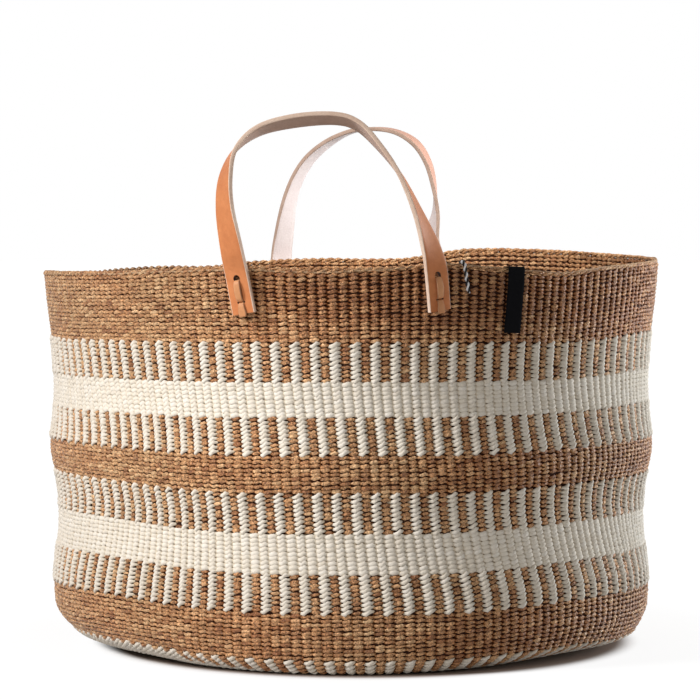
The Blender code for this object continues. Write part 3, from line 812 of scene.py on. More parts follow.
class Strand:
    """One strand of one row: its middle's way out and up, its half sizes and looks."""

    def __init__(self, rng, warps, number, yarn, loose=0.0, tight=0.0):
        places = points_along(warps)
        count, points = len(places), len(STITCH_PLACES)
        loose, tight = np.broadcast_to(loose, count), np.broadcast_to(tight, count)
        uneven = yarn.uneven * (1 - 0.5 * tight)
        each = np.repeat(rng.normal(size=(6, warps)).clip(-2, 2), points, axis=1) * uneven
        stray = {key: size * row for (key, size), row in zip(STRAYS.items(), each)}
        jitter = rng.normal(size=(3, count)).clip(-2, 2) * uneven
        jitter = [size * row for size, row in zip(JITTER, jitter)]
        swing, low, thin, tall = (
            getattr(yarn, key) * (1 + more * loose + less * tight)
            for key, (more, less) in CHANGES.items()
        )
        turn = (places - number) * math.pi
        side = np.cos(turn)
        stitch = np.abs(side)
        sharp = yarn.turn + (1.0 - yarn.turn) * loose - 0.5 * yarn.turn * tight
        self.out = swing * np.sign(side) * stitch**sharp * (1 + stray["swing"])
        self.out += yarn.seat * stitch + jitter[0]
        self.up = yarn.climb * np.sin(turn) * (1 + stray["climb"]) + stray["up"]
        self.up += yarn.slant * np.sin(3 * turn) * (1 + stray["slant"]) + jitter[1]
        self.half_up = low + (tall - low) * stitch ** (yarn.taper + LOOSE_TAPER * loose)
        self.half_up *= 1 + stray["tall"] + jitter[2]
        self.half_out = (thin + (yarn.deep - thin) * stitch) * (1 + stray["deep"])
        # Painted shade: loose stitches, most of them on the basket's shaded right side, are made
        # darker
        darker = LOOSE_PAINTED_SHADE * np.clip(loose - LOOSE_FROM, 0.0, LOOSE_MOST)
        tone = np.clip(stitch_tones(rng, warps, points) - darker, 0.0, 1.0)
        self.tone = np.repeat(tone, STRAND_SIDES)
        self.turn = full_turn(STRAND_SIDES)
        # How deep each point lies in the weave, a little less where it is tight; the yarn materials
        # paint shade in the hollows from it
        far = np.abs(self.out[:, None] + self.half_out[:, None] * np.cos(self.turn))
        shallow = np.clip(far / (swing + yarn.deep)[:, None], 0.0, 1.0)
        self.depth = ((1 - shallow) * (1 - TIGHT_SHADE_LOSS * tight)[:, None]).ravel()

    def rings(self, middle, outward, upward):
        """Points round the strand at places along it, from directions there."""
        middle = middle + (outward * self.out[:, None] + upward * self.up[:, None]) / 1000
        sideways = outward[:, None] * (self.half_out[:, None] * np.cos(self.turn))[..., None]
        upright = upward[:, None] * (self.half_up[:, None] * np.sin(self.turn))[..., None]
        return middle[:, None] + (sideways + upright) / 1000


def wall_row(rng, z, number, yarn):
    """One strand of one row of the wall, and its points."""
    even = warp_angles(points_along(WARPS), z)
    is_tan = yarn == YARNS["tan", "tan"]
    loose, tight = looseness(even, z) * is_tan, tightness(even) * is_tan
    strand = Strand(rng, WARPS, number, yarn, loose, tight)
    least, more = ROW_WANDER
    height = z + row_lift(even, z) + spots(rng, len(even), ROW_WAVES, more * yarn.uneven + least)
    inwards, slope = corner(even, height)
    middle = at_angles(even, middle_radius(z, inwards), height)
    outward = at_angles(even, 1.0, -slope) / np.sqrt(1 + slope**2)[:, None]
    return strand, strand.rings(middle, outward, at_angles(even, slope, 1.0))


def sole_frame(angles, way):
    """On the heel and the sole, at a way down from the wall: middle, outward, upward."""
    edge_height = HEEL_TOP + row_lift(angles, HEEL_TOP)
    edge_radius = middle_radius(HEEL_TOP, corner(angles, edge_height)[0])
    shares = round_curve(FRONT_ANGLES, SOLE_SHARES, angles)
    in_by = edge_radius - (FOOT_RADIUS * shares - WALL_THICKNESS / 2)
    down_by = edge_height - SOLE_HEIGHT
    bend = SOLE_BEND_SHARE * np.sqrt(in_by**2 + down_by**2)
    aside = window(signed(angles), *REACHING_SIDE)
    stretch = 1 + aside * (np.clip(HEEL_REACH * bend / HEEL_TOP, 1.0, HEEL_STRETCH) - 1)
    heel = HEEL_TOP * stretch
    past = max(way - HEEL_TOP, 0.0) * (SOLE_PATH - heel) / (SOLE_PATH - HEEL_TOP)
    way = min(way, HEEL_TOP) * stretch + past
    share = np.clip(way / bend, 0.0, 1.0)
    turn = share * math.pi / 2
    flat_share = np.clip((way - bend) / (SOLE_PATH - bend), 0.0, 1.0)
    radius = (edge_radius - in_by * (1 - np.cos(turn) + share) / 2) * (1 - flat_share)
    height = edge_height - down_by * (np.sin(turn) + share) / 2
    radial = -in_by * (np.sin(turn) * math.pi / 2 + 1)
    upright = -down_by * (np.cos(turn) * math.pi / 2 + 1)
    length = np.sqrt(radial**2 + upright**2)
    radial = np.where(share < 1, radial / length, -1.0)
    upright = np.where(share < 1, upright / length, 0.0)
    stretch = np.where(past > 0, 1.0, stretch)[:, None]
    upward = at_angles(angles, -radial, -upright) * stretch
    return at_angles(angles, radius, height), at_angles(angles, -upright, radial), upward


def sole_angles(warps, way):
    """The angles of warps at a way down from the wall, leaning towards the front."""
    angles = warp_angles(warps, 0.0)
    aside = np.sin(np.radians(2 * (angles - HEEL_MIDDLE)))
    lean = np.where(aside < 0, *HEEL_LEANS) * min(way / HEEL_TOP, 1.0)
    return angles - lean * aside


def sole_row(rng, way, warps, number, yarn):
    angles = sole_angles(points_along(warps) * WARPS / warps, way)
    strand = Strand(rng, warps, number, yarn)
    points = strand.rings(*sole_frame(angles, way))
    points[..., 2] = np.maximum(points[..., 2], LEAST_HEIGHT)
    return strand, points


def strands_object(name, rows, materials, zones=None):
    """An object of many strands with like numbers of points."""
    points = np.stack([points for _, points in rows])
    faces = tube_faces(points.shape[1], STRAND_SIDES, len(rows))
    tones = np.concatenate([strand.tone for strand, _ in rows])
    depths = np.concatenate([strand.depth for strand, _ in rows])
    return mesh_object(name, points, faces, materials, zones, tones, depths)


def weave_band(name, floor, height, materials):
    """Both strands of every row of a band of the wall, each yarn one object."""
    rows, first, second, changed = WEAVES[name]
    rng = np.random.default_rng([SEED, int(floor * 10000)])
    is_heel = name == "heel_stripe_band"
    made = []
    for k, (yarn, other) in enumerate(((first, second), (second, first))):
        number = (k + changed) % 2
        kind = FLAT_CREAM if k and "cream" in name else YARNS[yarn, other]
        strands = []
        for row in range(rows):
            rise = height * (row + 0.5) / rows
            if is_heel:
                strands.append(sole_row(rng, height - rise, WARPS, number, HEEL_YARNS[yarn]))
            else:
                strands.append(wall_row(rng, floor + rise, number, kind))
        label, looks, zones = f"{name}_{yarn}_strand_{k + 1}", [materials[yarn]], None
        if is_heel and yarn == "tan":
            looks.append(materials["white"])
            zones = np.concatenate([plain_heel(share) for share in np.arange(rows) / rows])
        made.append(strands_object(label, strands, looks, zones))
    return made


def plain_heel(share):
    """For each face of a tan strand of the heel, whether it is cream there."""
    angles = signed(points_along(WARPS) * 360 / WARPS)
    plain = (angles > PLAIN_HEEL[0]) & (angles < PLAIN_HEEL[1]) & (share < PLAIN_HEEL_SHARE)
    return np.repeat(plain, STRAND_SIDES).astype(int)


def weave_sole(materials):
    """Cream rows from the heel to the centre, with fewer warps nearer the middle."""
    rng = np.random.default_rng([SEED, 1])
    groups = {}
    for row in range(int((SOLE_PATH - HEEL_TOP) / SOLE_ROW_PITCH)):
        way = HEEL_TOP + SOLE_ROW_PITCH * (row + 0.5)
        out_share = 1 - way / SOLE_PATH
        warps = next(warps for share, warps in SOLE_WARPS if out_share >= share)
        for number in (0, 1):
            rows = groups.setdefault((warps, number), [])
            rows.append(sole_row(rng, way, warps, number, FLAT_CREAM))
    return [
        strands_object(f"base_weave_{warps}_warps_strand_{number + 1}", rows, [materials["white"]])
        for (warps, number), rows in groups.items()
    ]


def warp_shell(name, floor, height, material, levels):
    """The warps of a band, side by side, as one ribbed shell between the strands."""
    warps = np.arange(WARPS * SHELL_POINTS_PER_WARP) / SHELL_POINTS_PER_WARP
    rib = SHELL_HALF + SHELL_RIB * (0.5 + 0.5 * np.cos(warps * math.tau))
    sheets = []
    for side in (1, -1):
        for level in range(levels + 1):
            share = level / levels if side > 0 else 1 - level / levels
            if name == "heel_stripe_band":
                way = height * (1 - share)
                middle, outward, _ = sole_frame(sole_angles(warps, way), way)
            else:
                z = floor + height * share
                angles = warp_angles(warps, z)
                height_there = z + row_lift(angles, z)
                radius = middle_radius(z, corner(angles, height_there)[0])
                middle = at_angles(angles, radius, height_there)
                outward = at_angles(angles, 1.0, 0.0)
            sheets.append(middle + outward * side * rib[:, None])
    return shell_object(name + "_warps", sheets, material)


def sole_shell(material):
    """The warps of the base as one thin shell, closed over the centre."""
    angles = np.arange(SOLE_SHELL_SIDES) * 360 / SOLE_SHELL_SIDES
    ways = np.linspace(HEEL_TOP, SOLE_PATH * SOLE_SHELL_SHARE, SOLE_SHELL_ROWS)
    sheets = []
    for side, order in ((1, ways), (-1, ways[::-1])):
        for way in order:
            middle, outward, _ = sole_frame(angles, way)
            sheets.append(middle + outward * side * SOLE_SHELL_HALF)
    return shell_object("base_weave_warps", sheets, material)


def shell_object(name, sheets, material):
    """A closed shell through rings of points, down its one side and up its other."""
    faces = tube_faces(len(sheets), len(sheets[0]))
    return mesh_object(name, np.stack(sheets), faces, [material])


def make_rope(rng, rope, material):
    """A rope of two yarns lying along the rim, with a half turn for each warp."""
    made = []
    places = points_along(WARPS, ROPE_PLACES)
    angles = warp_angles(places, WALL_HEIGHT)
    size = 1 - LOOSE_ROPE_LOSS * window(signed(angles), *LOOSE_SIDE)
    top = WALL_HEIGHT + rim_rise(angles)
    top = top + spots(rng, len(places), ROPE_RISE_WAVES, rope.uneven)
    sway = spots(rng, len(places), ROPE_SWAY_WAVES, rope.uneven)
    turn = full_turn(STRAND_SIDES)
    outward = at_angles(angles, 1.0, 0.0)
    low = rope.down * (1 + size) / 2
    low = low + rope.hidden * (1 - window(signed(angles), *THREAD_SIDE))
    for number in (0, 1):
        each = np.repeat(rng.normal(size=WARPS).clip(-2, 2), len(ROPE_PLACES))
        phase = (places - number) * math.pi
        half = rope.yarn * size * (1 + ROPE_STRAY * each)
        way_out = (rope.out + rope.swing * np.cos(phase)) * size
        way_up = rope.swing * np.sin(phase) * size - low
        radius = middle_radius(WALL_HEIGHT) + sway
        ring_out = way_out[:, None] + half[:, None] * np.cos(turn)
        ring_up = way_up[:, None] + half[:, None] * np.sin(turn)
        points = outward[:, None] * (radius[:, None] + ring_out / 1000)[..., None]
        points[..., 2] = top[:, None] + ring_up / 1000
        # How deep each point lies in the rope, from which the tan material paints shade
        far = np.hypot(ring_out - rope.out * size[:, None], ring_up + low[:, None])
        depth = np.clip(1 - far / ((rope.swing + rope.yarn) * size[:, None]), 0.0, 1.0)
        tones = np.clip(stitch_tones(rng, WARPS, len(ROPE_PLACES) * STRAND_SIDES), 0.0, 1.0)
        faces = tube_faces(len(places), STRAND_SIDES)
        label = f"{rope.name}_{number + 1}"
        made.append(mesh_object(label, points, faces, [material], tones=tones, depths=depth))
    return made


# Strips of leather and ribbon

ZONES = ("face", "back", "edge")
HOLE_ZONE = len(ZONES)


def strip_section(half_width, half_thick, corner, steps):
    """Points round a strip as (across, out), and the zone of the side after each."""
    flat = half_width - corner
    soft = corner * CORNER_SOFT_SHARE
    face = [(-flat + 2 * flat * i / steps, half_thick, "face") for i in range(steps)]
    right = [
        (flat, half_thick, "edge"),
        (half_width - soft, half_thick - soft, "edge"),
        (half_width, half_thick - corner, "edge"),
        (half_width, corner - half_thick, "edge"),
        (half_width - soft, soft - half_thick, "edge"),
    ]
    back = [(flat - 2 * flat * i / steps, -half_thick, "back") for i in range(steps)]
    left = [(-u, -v, zone) for u, v, zone in right]
    return face + right + back + left


def strip_object(name, stations, widths, thickness, corner, materials, steps=6):
    """A strip through stations of (middle, face, across), as wide as widths say."""
    work = bmesh.new()
    rings = []
    for (middle, face, across), width in zip(stations, widths):
        section = strip_section(width / 2, thickness / 2, min(corner, thickness / 2.2), steps)
        rings.append([work.verts.new(middle + across * u + face * v) for u, v, _ in section])
    zones = [ZONES.index(zone) for _, _, zone in section]
    for low, high in zip(rings, rings[1:]):
        for i, zone in enumerate(zones):
            j = (i + 1) % len(zones)
            work.faces.new((low[i], high[i], high[j], low[j])).material_index = zone
    for ring in (rings[0], rings[-1]):
        work.faces.new(ring).material_index = ZONES.index("edge")
    bmesh.ops.recalc_face_normals(work, faces=work.faces)
    ob = object_from(name, work)
    ob.data.shade_smooth()
    ob.data.set_sharp_from_angle(angle=math.radians(SHARP_ANGLE))
    for material in materials:
        ob.data.materials.append(material)
    return ob


def frame_of(origin, *axes):
    """The place of a frame with its origin and its X, Y and Z axes."""
    frame = Matrix(axes).transposed().to_4x4()
    frame.translation = origin
    return frame


def flat_stations(frame, path):
    """Stations of a strip along a path in a frame's X and Y, facing right of its way."""
    turned = frame.to_3x3()
    across = turned @ Vector((0, 0, 1))
    stations = []
    for (x, y), (way_x, way_y) in zip(path, np.gradient(path, axis=0)):
        face = Vector((way_y, -way_x, 0.0)).normalized()
        stations.append((frame @ Vector((x, y, 0.0)), turned @ face, across))
    return stations


# The straps. Each is worked out at the front and turned to its place.


def angle_at(x, radius=RIM_RADIUS):
    """The angle in degrees round the basket at which its surface is x from the middle."""
    return math.degrees(math.asin(x / radius))


def strap_y(x, z, turn):
    """How far forward a strap's middle lies, turned on the wall by some degrees."""
    wall_y = -math.sqrt(wall_radius(z) ** 2 - x * x)
    half = STRAP_WIDTH / 2 * math.sin(math.radians(turn)) + STRAP_THICKNESS / 2
    return wall_y - (SEAT_GAP * 2 + half) / math.cos(math.asin(x / RIM_RADIUS))


def fold_depth(x, twist, end_turn):
    fold_turn = 90 - twist - abs(angle_at(x))
    return strap_y(x, WALL_HEIGHT, (end_turn + fold_turn) / 2)


class Handle:
    """One strap, by the CAD's formulas: its fold axis, its ends and its stations."""

    def __init__(self, name, angle, arch_shares, hinges, end_turns):
        self.name = name
        self.angle = angle
        self.place = Matrix.Rotation(math.radians(angle), 4, "Z")
        hinge_x = [share * HALF_SPAN for share, _ in hinges]
        twists = [twist for _, twist in hinges]
        half = STRAP_WIDTH / 2
        highest_rim = max(self.rim_height(x + side) for x in hinge_x for side in (-half, half))
        self.fold_z = highest_rim + SEAT_GAP + FOLD_RADIUS
        self.fold_y = min(map(fold_depth, hinge_x, twists, end_turns))
        left = self.end_points(-HALF_SPAN, hinge_x[0], end_turns[0])
        right = self.end_points(HALF_SPAN, hinge_x[1], end_turns[1])
        arch = [self.arch_point(*shares) for shares in arch_shares]
        stations = strap_stations(left + arch + right[::-1])
        frames = [self.place @ lace_frame(way) for way in (stations, stations[::-1])]
        self.ends = list(zip(("left", "right"), frames, end_turns))
        turned = self.place.to_3x3()
        self.stations = [(self.place @ p, turned @ face, turned @ side) for p, face, side in stations]

    def rim_height(self, x):
        return WALL_HEIGHT + float(rim_rise(angle_at(x) + self.angle))

    def end_points(self, end_x, hinge_x, turn):
        """Where the end starts and leaves the wall, as (x, y, z, twist)."""
        tip_z = self.rim_height(end_x) - END_DROP
        points = []
        for rise in (0.0, FLUSH_LENGTH):
            x = end_x + (hinge_x - end_x) * rise / (self.fold_z - tip_z)
            z = tip_z + rise
            twist = 90 - turn - abs(angle_at(x, wall_radius(z)))
            points.append((x, strap_y(x, z, turn), z, twist))
        return points

    def arch_point(self, across_share, rise_share, twist):
        y = self.fold_y + ARCH_LEAN * rise_share * rise_share
        return HALF_SPAN * across_share, y, self.fold_z + ARCH_RISE * rise_share, twist

    def fold_end(self, side):
        """Where the bend at the fold starts, with side -1, or ends, with side 1."""
        return self.place @ Vector((0.0, self.fold_y, self.fold_z + FOLD_RADIUS * side))


def strap_stations(points):
    """Stations along a smooth curve through points: (middle, outward face, way across)."""
    rows = smooth_path(points, STRAP_SAMPLES)
    middles = [Vector(row[:3]) for row in rows]
    stations = []
    for i, middle in enumerate(middles):
        along = (middles[min(i + 1, len(rows) - 1)] - middles[max(i - 1, 0)]).normalized()
        outward = Vector((-along.z, 0.0, along.x)).normalized()
        turn = math.radians(rows[i][3])
        face = outward * math.cos(turn) + along.cross(outward) * math.sin(turn)
        stations.append((middle, face, along.cross(face)))
    return stations


def point_along(stations, length):
    """The point at a length along the strap from its first station."""
    for (first, _, _), (second, _, _) in zip(stations, stations[1:]):
        step = (second - first).length
        if step >= length:
            return first.lerp(second, length / step)
        length -= step
    return stations[-1][0]


def lace_frame(stations):
    """Origin at the strap's tip: X outwards, Y up the strap, Z across it."""
    tip, face, _ = stations[0]
    along = (point_along(stations, FLUSH_LENGTH) - tip).normalized()
    across = along.cross(face).normalized()
    return frame_of(tip, across.cross(along), along, across)


def hole_cutter(name, place, height, half_up, half_across, material):
    """A round or oval punch through the strap at a height above its tip."""
    work = bmesh.new()
    bmesh.ops.create_cone(
        work, cap_ends=True, segments=32, radius1=1.0, radius2=1.0, depth=STRAP_THICKNESS * 4
    )
    cutter = object_from(name, work)
    for _ in range(HOLE_ZONE + 1):
        cutter.data.materials.append(material)
    for polygon in cutter.data.polygons:
        polygon.material_index = HOLE_ZONE
    lie = Matrix.Rotation(math.radians(90), 4, "Y")
    scale = Matrix.Diagonal((half_across, half_up, 1.0, 1.0))
    cutter.matrix_world = place @ Matrix.Translation((0.0, height, 0.0)) @ lie @ scale
    return cutter


def punch(ob, cutters):
    """Cuts holes into a mesh and leaves it plain, with no modifiers."""
    for cutter in cutters:
        cut = ob.modifiers.new("Punch", "BOOLEAN")
        cut.operation = "DIFFERENCE"
        cut.solver = "EXACT"
        cut.object = cutter
    bpy.context.view_layer.update()
    seen = ob.evaluated_get(bpy.context.evaluated_depsgraph_get())
    data = bpy.data.meshes.new_from_object(seen)
    ob.modifiers.clear()
    ob.data = data
    for cutter in cutters:
        bpy.data.objects.remove(cutter, do_unlink=True)


def build_strap(handle, materials):
    """The whole strap, from tip to tip, punched for its laces."""
    widths = [STRAP_WIDTH] * len(handle.stations)
    leather = [materials[f"{handle.name}_{side}"] for side in ("grain", "flesh", "edge")]
    # The walls of the holes get painted shade
    leather.append(materials["hole"])
    name = handle.name + "_strap"
    strap = strip_object(name, handle.stations, widths, STRAP_THICKNESS, STRAP_CORNER, leather)
    holes = (
        (LACE_HOLE_FROM_END + HOLE_RADIUS * HOLE_RAISE_SHARE, HOLE_RADIUS, HOLE_RADIUS),
        (LACE_SLOT_FROM_END, SLOT_HALF_HEIGHT, LACE_WIDTH / 2 + SLOT_HALF_HEIGHT / 2),
    )
    cutters = []
    for _, frame, _ in handle.ends:
        for sizes in holes:
            label = f"{name}_cutter_{len(cutters)}"
            cutters.append(hole_cutter(label, frame, *sizes, leather[HOLE_ZONE]))
    punch(strap, cutters)
    return strap


def lace_depth(turn):
    """From the strap's middle to the inner bar of its lace, inside the wall."""
    slant = math.radians(turn)
    tilt = math.sin(slant) * (STRAP_WIDTH + LACE_WIDTH) / 2
    through = (STRAP_THICKNESS / 2 + WALL_THICKNESS + tilt) / math.cos(slant)
    return through + LACE_WIDTH / 3


def lace_path(turn):
    """The lace in its frame, in millimetres: (outwards, up the strap, width)."""
    face = STRAP_THICKNESS * 500 + 1.0
    inner = -lace_depth(turn) * 1000 - 0.8
    hole, slot = LACE_HOLE_FROM_END * 1000, LACE_SLOT_FROM_END * 1000
    return (
        (face, -LACE_TAIL_PAST_END * 1000, 6.4),
        (face, 1.5, 6.6),
        (face, 4.5, 5.8),
        (face - 0.5, slot - 2.0, 5.2),
        (face - 2.2, slot - 0.9, 4.9),
        (inner + 1.6, slot - 0.7, 4.9),
        (inner, slot + 0.9, 5.0),
        (inner - 0.3, (slot + hole) / 2, 5.4),
        (inner, hole - 1.0, 5.0),
        (inner + 1.6, hole - 0.1, 4.6),
        (face - 2.4, hole + 0.1, 4.6),
        (face - 0.3, hole - 0.5, 5.0),
        (face + 0.6, hole - 2.6, 5.5),
        (face + 1.1, hole - 6.5, 5.8),
        (face + 0.9, slot + 4.8, 5.7),
        (face + 0.1, slot + 2.2, 5.4),
        (face - 1.6, slot + 1.0, 5.0),
        (-2.5, slot + 0.7, 4.8),
    )


def build_lace(name, frame, turn, materials):
    rows = smooth_path(lace_path(turn), LACE_SAMPLES) / 1000
    stations = flat_stations(frame, rows[:, :2])
    widths = rows[:, 2]
    widths[0] *= LACE_TIP_SHARE
    leather = [materials["lace"], materials["lace"], materials["lace_edge"]]
    return strip_object(name, stations, widths, LACE_THICKNESS, LACE_CORNER, leather, 4)


def build_handle(handle, materials):
    strap = build_strap(handle, materials)
    ends = [f"{handle.name}_{side}_strap_end" for side, _, _ in handle.ends]
    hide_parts(handle.name + "_strap_arch", *ends)
    start, end = (tuple(handle.fold_end(side)) for side in (-1, 1))
    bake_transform(strap)
    for side, frame, turn in handle.ends:
        node_name = f"{handle.name}_{side}_lace"
        lace = build_lace(node_name + "_thong", frame, turn, materials)
        finish_piece(lace, "leather_lace", node_name)


# What is stitched to the rim


def rim_slope(angle):
    """How much the rim's top rises for each metre along it."""
    step = 1.0
    rise = float(rim_rise(angle + step) - rim_rise(angle - step))
    return rise / (2 * math.radians(step) * RIM_RADIUS)


def rounded_corners(points, radius, steps):
    """A flat path with its inner points cut round."""
    made = [points[0]]
    for before, corner, after in zip(points, points[1:], points[2:]):
        before, corner, after = (np.array(p, float) for p in (before, corner, after))
        back, on = before - corner, after - corner
        cut = min(radius, np.linalg.norm(back) / 2, np.linalg.norm(on) / 2)
        start = corner + back / np.linalg.norm(back) * cut
        end = corner + on / np.linalg.norm(on) * cut
        for step in range(steps + 1):
            share = step / steps
            curve = start * (1 - share) ** 2 + corner * 2 * share * (1 - share) + end * share**2
            made.append(tuple(curve))
    made.append(points[-1])
    return made


def build_label(material):
    """A bare ribbon folded over the rim: X runs outwards from the rim, Y up."""
    clear = LABEL_GAP + LABEL_THICKNESS / 2
    over = LABEL_GAP * 1.5 + LABEL_THICKNESS / 2
    path = []
    for i in range(LABEL_STEPS):
        z = WALL_HEIGHT - LABEL_OUTSIDE * (1 - i / LABEL_STEPS)
        path.append((wall_radius(z) - RIM_RADIUS + clear, z - WALL_HEIGHT))
    edge = wall_radius(WALL_HEIGHT) - RIM_RADIUS
    inner_x = edge - WALL_THICKNESS - clear
    low_x = wall_radius(WALL_HEIGHT - LABEL_INSIDE) - RIM_RADIUS - WALL_THICKNESS - clear
    fold = [(edge + clear, -LABEL_BEND_START), (edge + clear, over)]
    fold += [(inner_x, over), (low_x, -LABEL_INSIDE)]
    path += rounded_corners(fold, LABEL_BEND_RADIUS, LABEL_BEND_STEPS)
    outward = around(LABEL_ANGLE, 1.0, 0.0)
    slope = rim_slope(LABEL_ANGLE) * LABEL_SLOPE_SHARE
    across = around(LABEL_ANGLE + 90, 1.0, slope).normalized()
    origin = around(LABEL_ANGLE, RIM_RADIUS, WALL_HEIGHT + float(rim_rise(LABEL_ANGLE)))
    frame = frame_of(origin, outward, outward.cross(across), -across)
    stations = flat_stations(frame, np.array(path))
    size, pace = LABEL_WAVE
    widths = [LABEL_WIDTH * (1 + size * math.sin(i * pace)) for i in range(len(stations))]
    ribbon = [material] * len(ZONES)
    return strip_object("label_ribbon", stations, widths, LABEL_THICKNESS, LABEL_CORNER, ribbon, 8)


def marker_points():
    """From low outside, up over the rim and down inside, clear of the wall."""
    angle = angle_at(HALF_SPAN + MARKER_FROM_STRAP)
    clear = MARKER_RADIUS + MARKER_GAP
    foot, inner_foot = WALL_HEIGHT - MARKER_OUTSIDE, WALL_HEIGHT - MARKER_INSIDE
    lift = float(rim_rise(angle))
    points = [around(angle + MARKER_LEAN, wall_radius(foot) + clear, foot + lift)]
    half = WALL_THICKNESS / 2 + clear
    for step in range(MARKER_BEND_STEPS + 1):
        turn = math.pi * step / MARKER_BEND_STEPS
        radius = RIM_RADIUS - WALL_THICKNESS / 2 + half * math.cos(turn)
        points.append(around(angle, radius, WALL_HEIGHT + lift + clear * math.sin(turn)))
    inner_radius = wall_radius(inner_foot) - WALL_THICKNESS - clear
    return np.array(points + [around(angle, inner_radius, inner_foot + lift)])


def build_marker(materials):
    """Two plies, black and white, twisted round each other over the rim."""
    points = marker_points()
    lengths = np.append(0.0, np.cumsum(np.linalg.norm(np.diff(points, axis=0), axis=1)))
    way = np.linspace(0.0, lengths[-1], MARKER_RINGS)
    middles = np.stack([np.interp(way, lengths, points[:, k]) for k in range(3)], axis=1)
    along = np.gradient(middles, axis=0)
    along /= np.linalg.norm(along, axis=1)[:, None]
    side = np.tile(at_angles(MARKER_AROUND + 90, 1.0, 0.0), (MARKER_RINGS, 1))
    side -= along * (side * along).sum(axis=1)[:, None]
    side /= np.linalg.norm(side, axis=1)[:, None]
    front = np.cross(along, side)
    ply, swing = MARKER_RADIUS * PLY_SHARE, MARKER_RADIUS * PLY_SWING_SHARE
    round_ply = full_turn(PLY_SIDES)[None, :, None]
    ring = side[:, None] * np.cos(round_ply) + front[:, None] * np.sin(round_ply)
    tips = np.sqrt(np.clip(np.minimum(way, lengths[-1] - way) / ply, PLY_TIP_SHARE, 1.0))
    faces = tube_faces(MARKER_RINGS, PLY_SIDES, closed=False)
    made = []
    for number, colour in enumerate(("white", "black")):
        turn = (way / MARKER_TWIST * math.tau + number * math.pi)[:, None]
        middle = middles + (side * np.cos(turn) + front * np.sin(turn)) * swing
        points = middle[:, None] + ring * ply * tips[:, None, None]
        material = materials["marker_" + colour]
        made.append(mesh_object(f"marker_yarn_{colour}_ply", points, faces, [material]))
    return made


# The floor, the lights and the camera


def make_floor_look():
    """A painted brown contact shadow under the foot and white around it, dimmer for light that it
    throws back, glowing where the camera sees it away from the foot, and clear from below."""
    material = bpy.data.materials.new("white_floor")
    material.use_nodes = True
    look = Nodes(material.node_tree)
    look.tree.nodes.clear()
    seen = look.seen()
    place = look.node("TexCoord").outputs["Object"]
    inputs = {"Vector": place, "Location": FOOT_SHIFT, "Scale": FOOT_PRINT}
    place = look.node("Mapping", inputs).outputs["Vector"]
    away = look.node("VectorMath", {0: place}, operation="LENGTH").outputs["Value"]
    near = look.map_range(away, (1.00, 1.08), (0.0, 1.0))
    # Painted contact shadow: brown within the oval of the foot, white beyond it
    under = look.ramp(near, ((0.0, FLOOR_PAINTED_SHADOW), (1.0, WHITE)))
    diffuse = look.node("BsdfDiffuse", {"Color": look.mix(FLOOR_BOUNCE, under, seen)})
    clear = look.map_range(away, (1.01, 1.11), (0.0, 0.84))
    far = look.map_range(away, (1.3, 2.2), (0.0, 0.14))
    share = look.combine("MULTIPLY", seen, look.combine("ADD", clear, far))
    both = look.mix_shaders(share, diffuse, look.node("Emission", {"Strength": FLOOR_GLOW}))
    below = look.node("NewGeometry").outputs["Backfacing"]
    open_below = look.mix_shaders(below, both, look.node("BsdfTransparent"))
    look.node("OutputMaterial", {"Surface": open_below.outputs[0]})
    return material


def build_floor():
    work = bmesh.new()
    bmesh.ops.create_grid(work, x_segments=1, y_segments=1, size=FLOOR_HALF)
    floor = object_from("floor", work)
    floor.location = (0.0, 0.0, -FLOOR_DROP)
    floor.data.materials.append(make_floor_look())


def build_world():
    """White where the camera sees it, and a dim warm light for the basket."""
    world = bpy.context.scene.world or bpy.data.worlds.new("studio")
    bpy.context.scene.world = world
    world.use_nodes = True
    look = Nodes(world.node_tree)
    look.tree.nodes.clear()
    lit = look.node("Background", {"Color": WORLD_COLOUR, "Strength": WORLD_STRENGTH})
    both = look.mix_shaders(look.seen(), lit, look.node("Background", {"Color": WHITE}))
    look.node("OutputWorld", {"Surface": both.outputs[0]})


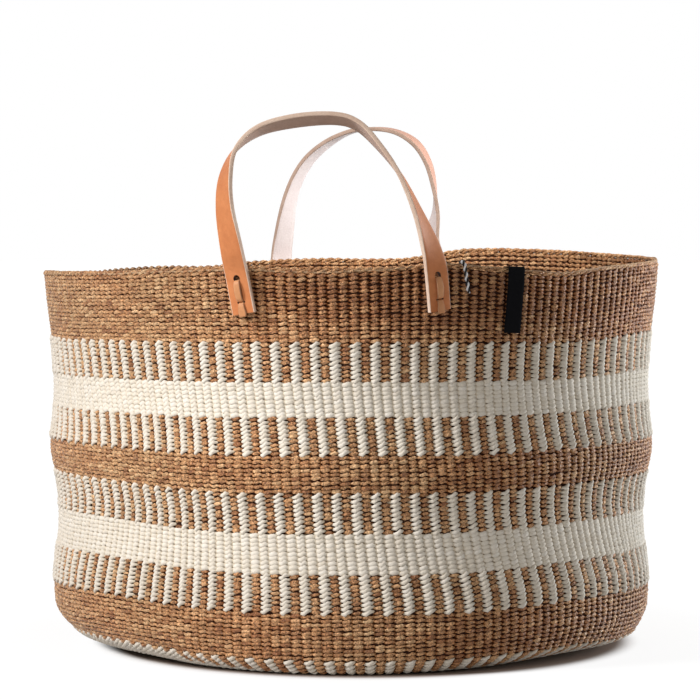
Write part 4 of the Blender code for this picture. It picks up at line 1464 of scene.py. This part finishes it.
def build_lamp(lamp):
    data = bpy.data.lights.new(lamp.name, lamp.kind)
    data.color = lamp.colour
    data.energy = lamp.power
    if lamp.kind == "AREA":
        data.shape = "DISK"
        data.size = lamp.size
    else:
        data.spot_size = math.radians(lamp.size)
        data.spot_blend = 1.0
        data.shadow_soft_size = SPOT_SOFTNESS
    light = add_object(lamp.name, data)
    light.location = lamp.place
    towards = Vector(lamp.target) - Vector(lamp.place)
    light.rotation_euler = towards.to_track_quat("-Z", "Y").to_euler()


def build_camera():
    data = bpy.data.cameras.new("camera")
    data.sensor_width = 36.0
    data.lens = CAMERA_LENS
    data.shift_x = CAMERA_SHIFT
    data.clip_end = CAMERA_REACH
    camera = add_object("camera", data)
    azimuth, pitch = math.radians(CAMERA_AZIMUTH), math.radians(CAMERA_PITCH)
    camera.location = around(CAMERA_AZIMUTH, CAMERA_DISTANCE, CAMERA_HEIGHT)
    camera.rotation_euler = (math.pi / 2 - pitch, 0.0, azimuth)
    bpy.context.scene.camera = camera
    bpy.context.scene.view_settings.view_transform = "Standard"


# The whole basket


def finish_piece(piece, slot, *nodes):
    """Ties a fixed piece to the basket and hides the CAD nodes it stands for; its finish, the slot,
    is not used.
    """
    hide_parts(*nodes)
    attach(piece, "basket")


def build_basket(materials):
    floors = band_floors()
    for name, share, _, _ in BANDS:
        if name not in WEAVES:
            continue
        height = WALL_HEIGHT * share
        rows, first, second, _ = WEAVES[name]
        # Tan bands get the near-black warp, painted shade in their gaps
        warp = "pale_warp" if "cream" in name else "painted_shade_warp"
        pieces = weave_band(name, floors[name], height, materials)
        pieces.append(warp_shell(name, floors[name], height, materials[warp], rows))
        for piece in pieces:
            finish_piece(piece, SLOTS[first, second], name)
    for piece in weave_sole(materials) + [sole_shell(materials["pale_warp"])]:
        finish_piece(piece, "cream_wool", "base_weave")
    rng = np.random.default_rng([SEED, 2])
    pieces = make_rope(rng, RIM_ROPE, materials["tan"])
    pieces += make_rope(rng, RIM_THREAD, materials["thread"])
    for piece in pieces:
        finish_piece(piece, "tan_paper_yarn", "rim_closing_row")


def main():
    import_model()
    materials = make_materials()
    build_basket(materials)
    for values in HANDLES:
        build_handle(Handle(*values), materials)
    finish_piece(build_label(materials["label"]), "label_black", "label_tag")
    for ply in build_marker(materials):
        finish_piece(ply, "marker_yarn", "marker_yarn")
    build_floor()
    build_world()
    for lamp in LAMPS:
        build_lamp(lamp)
    build_camera()


main()
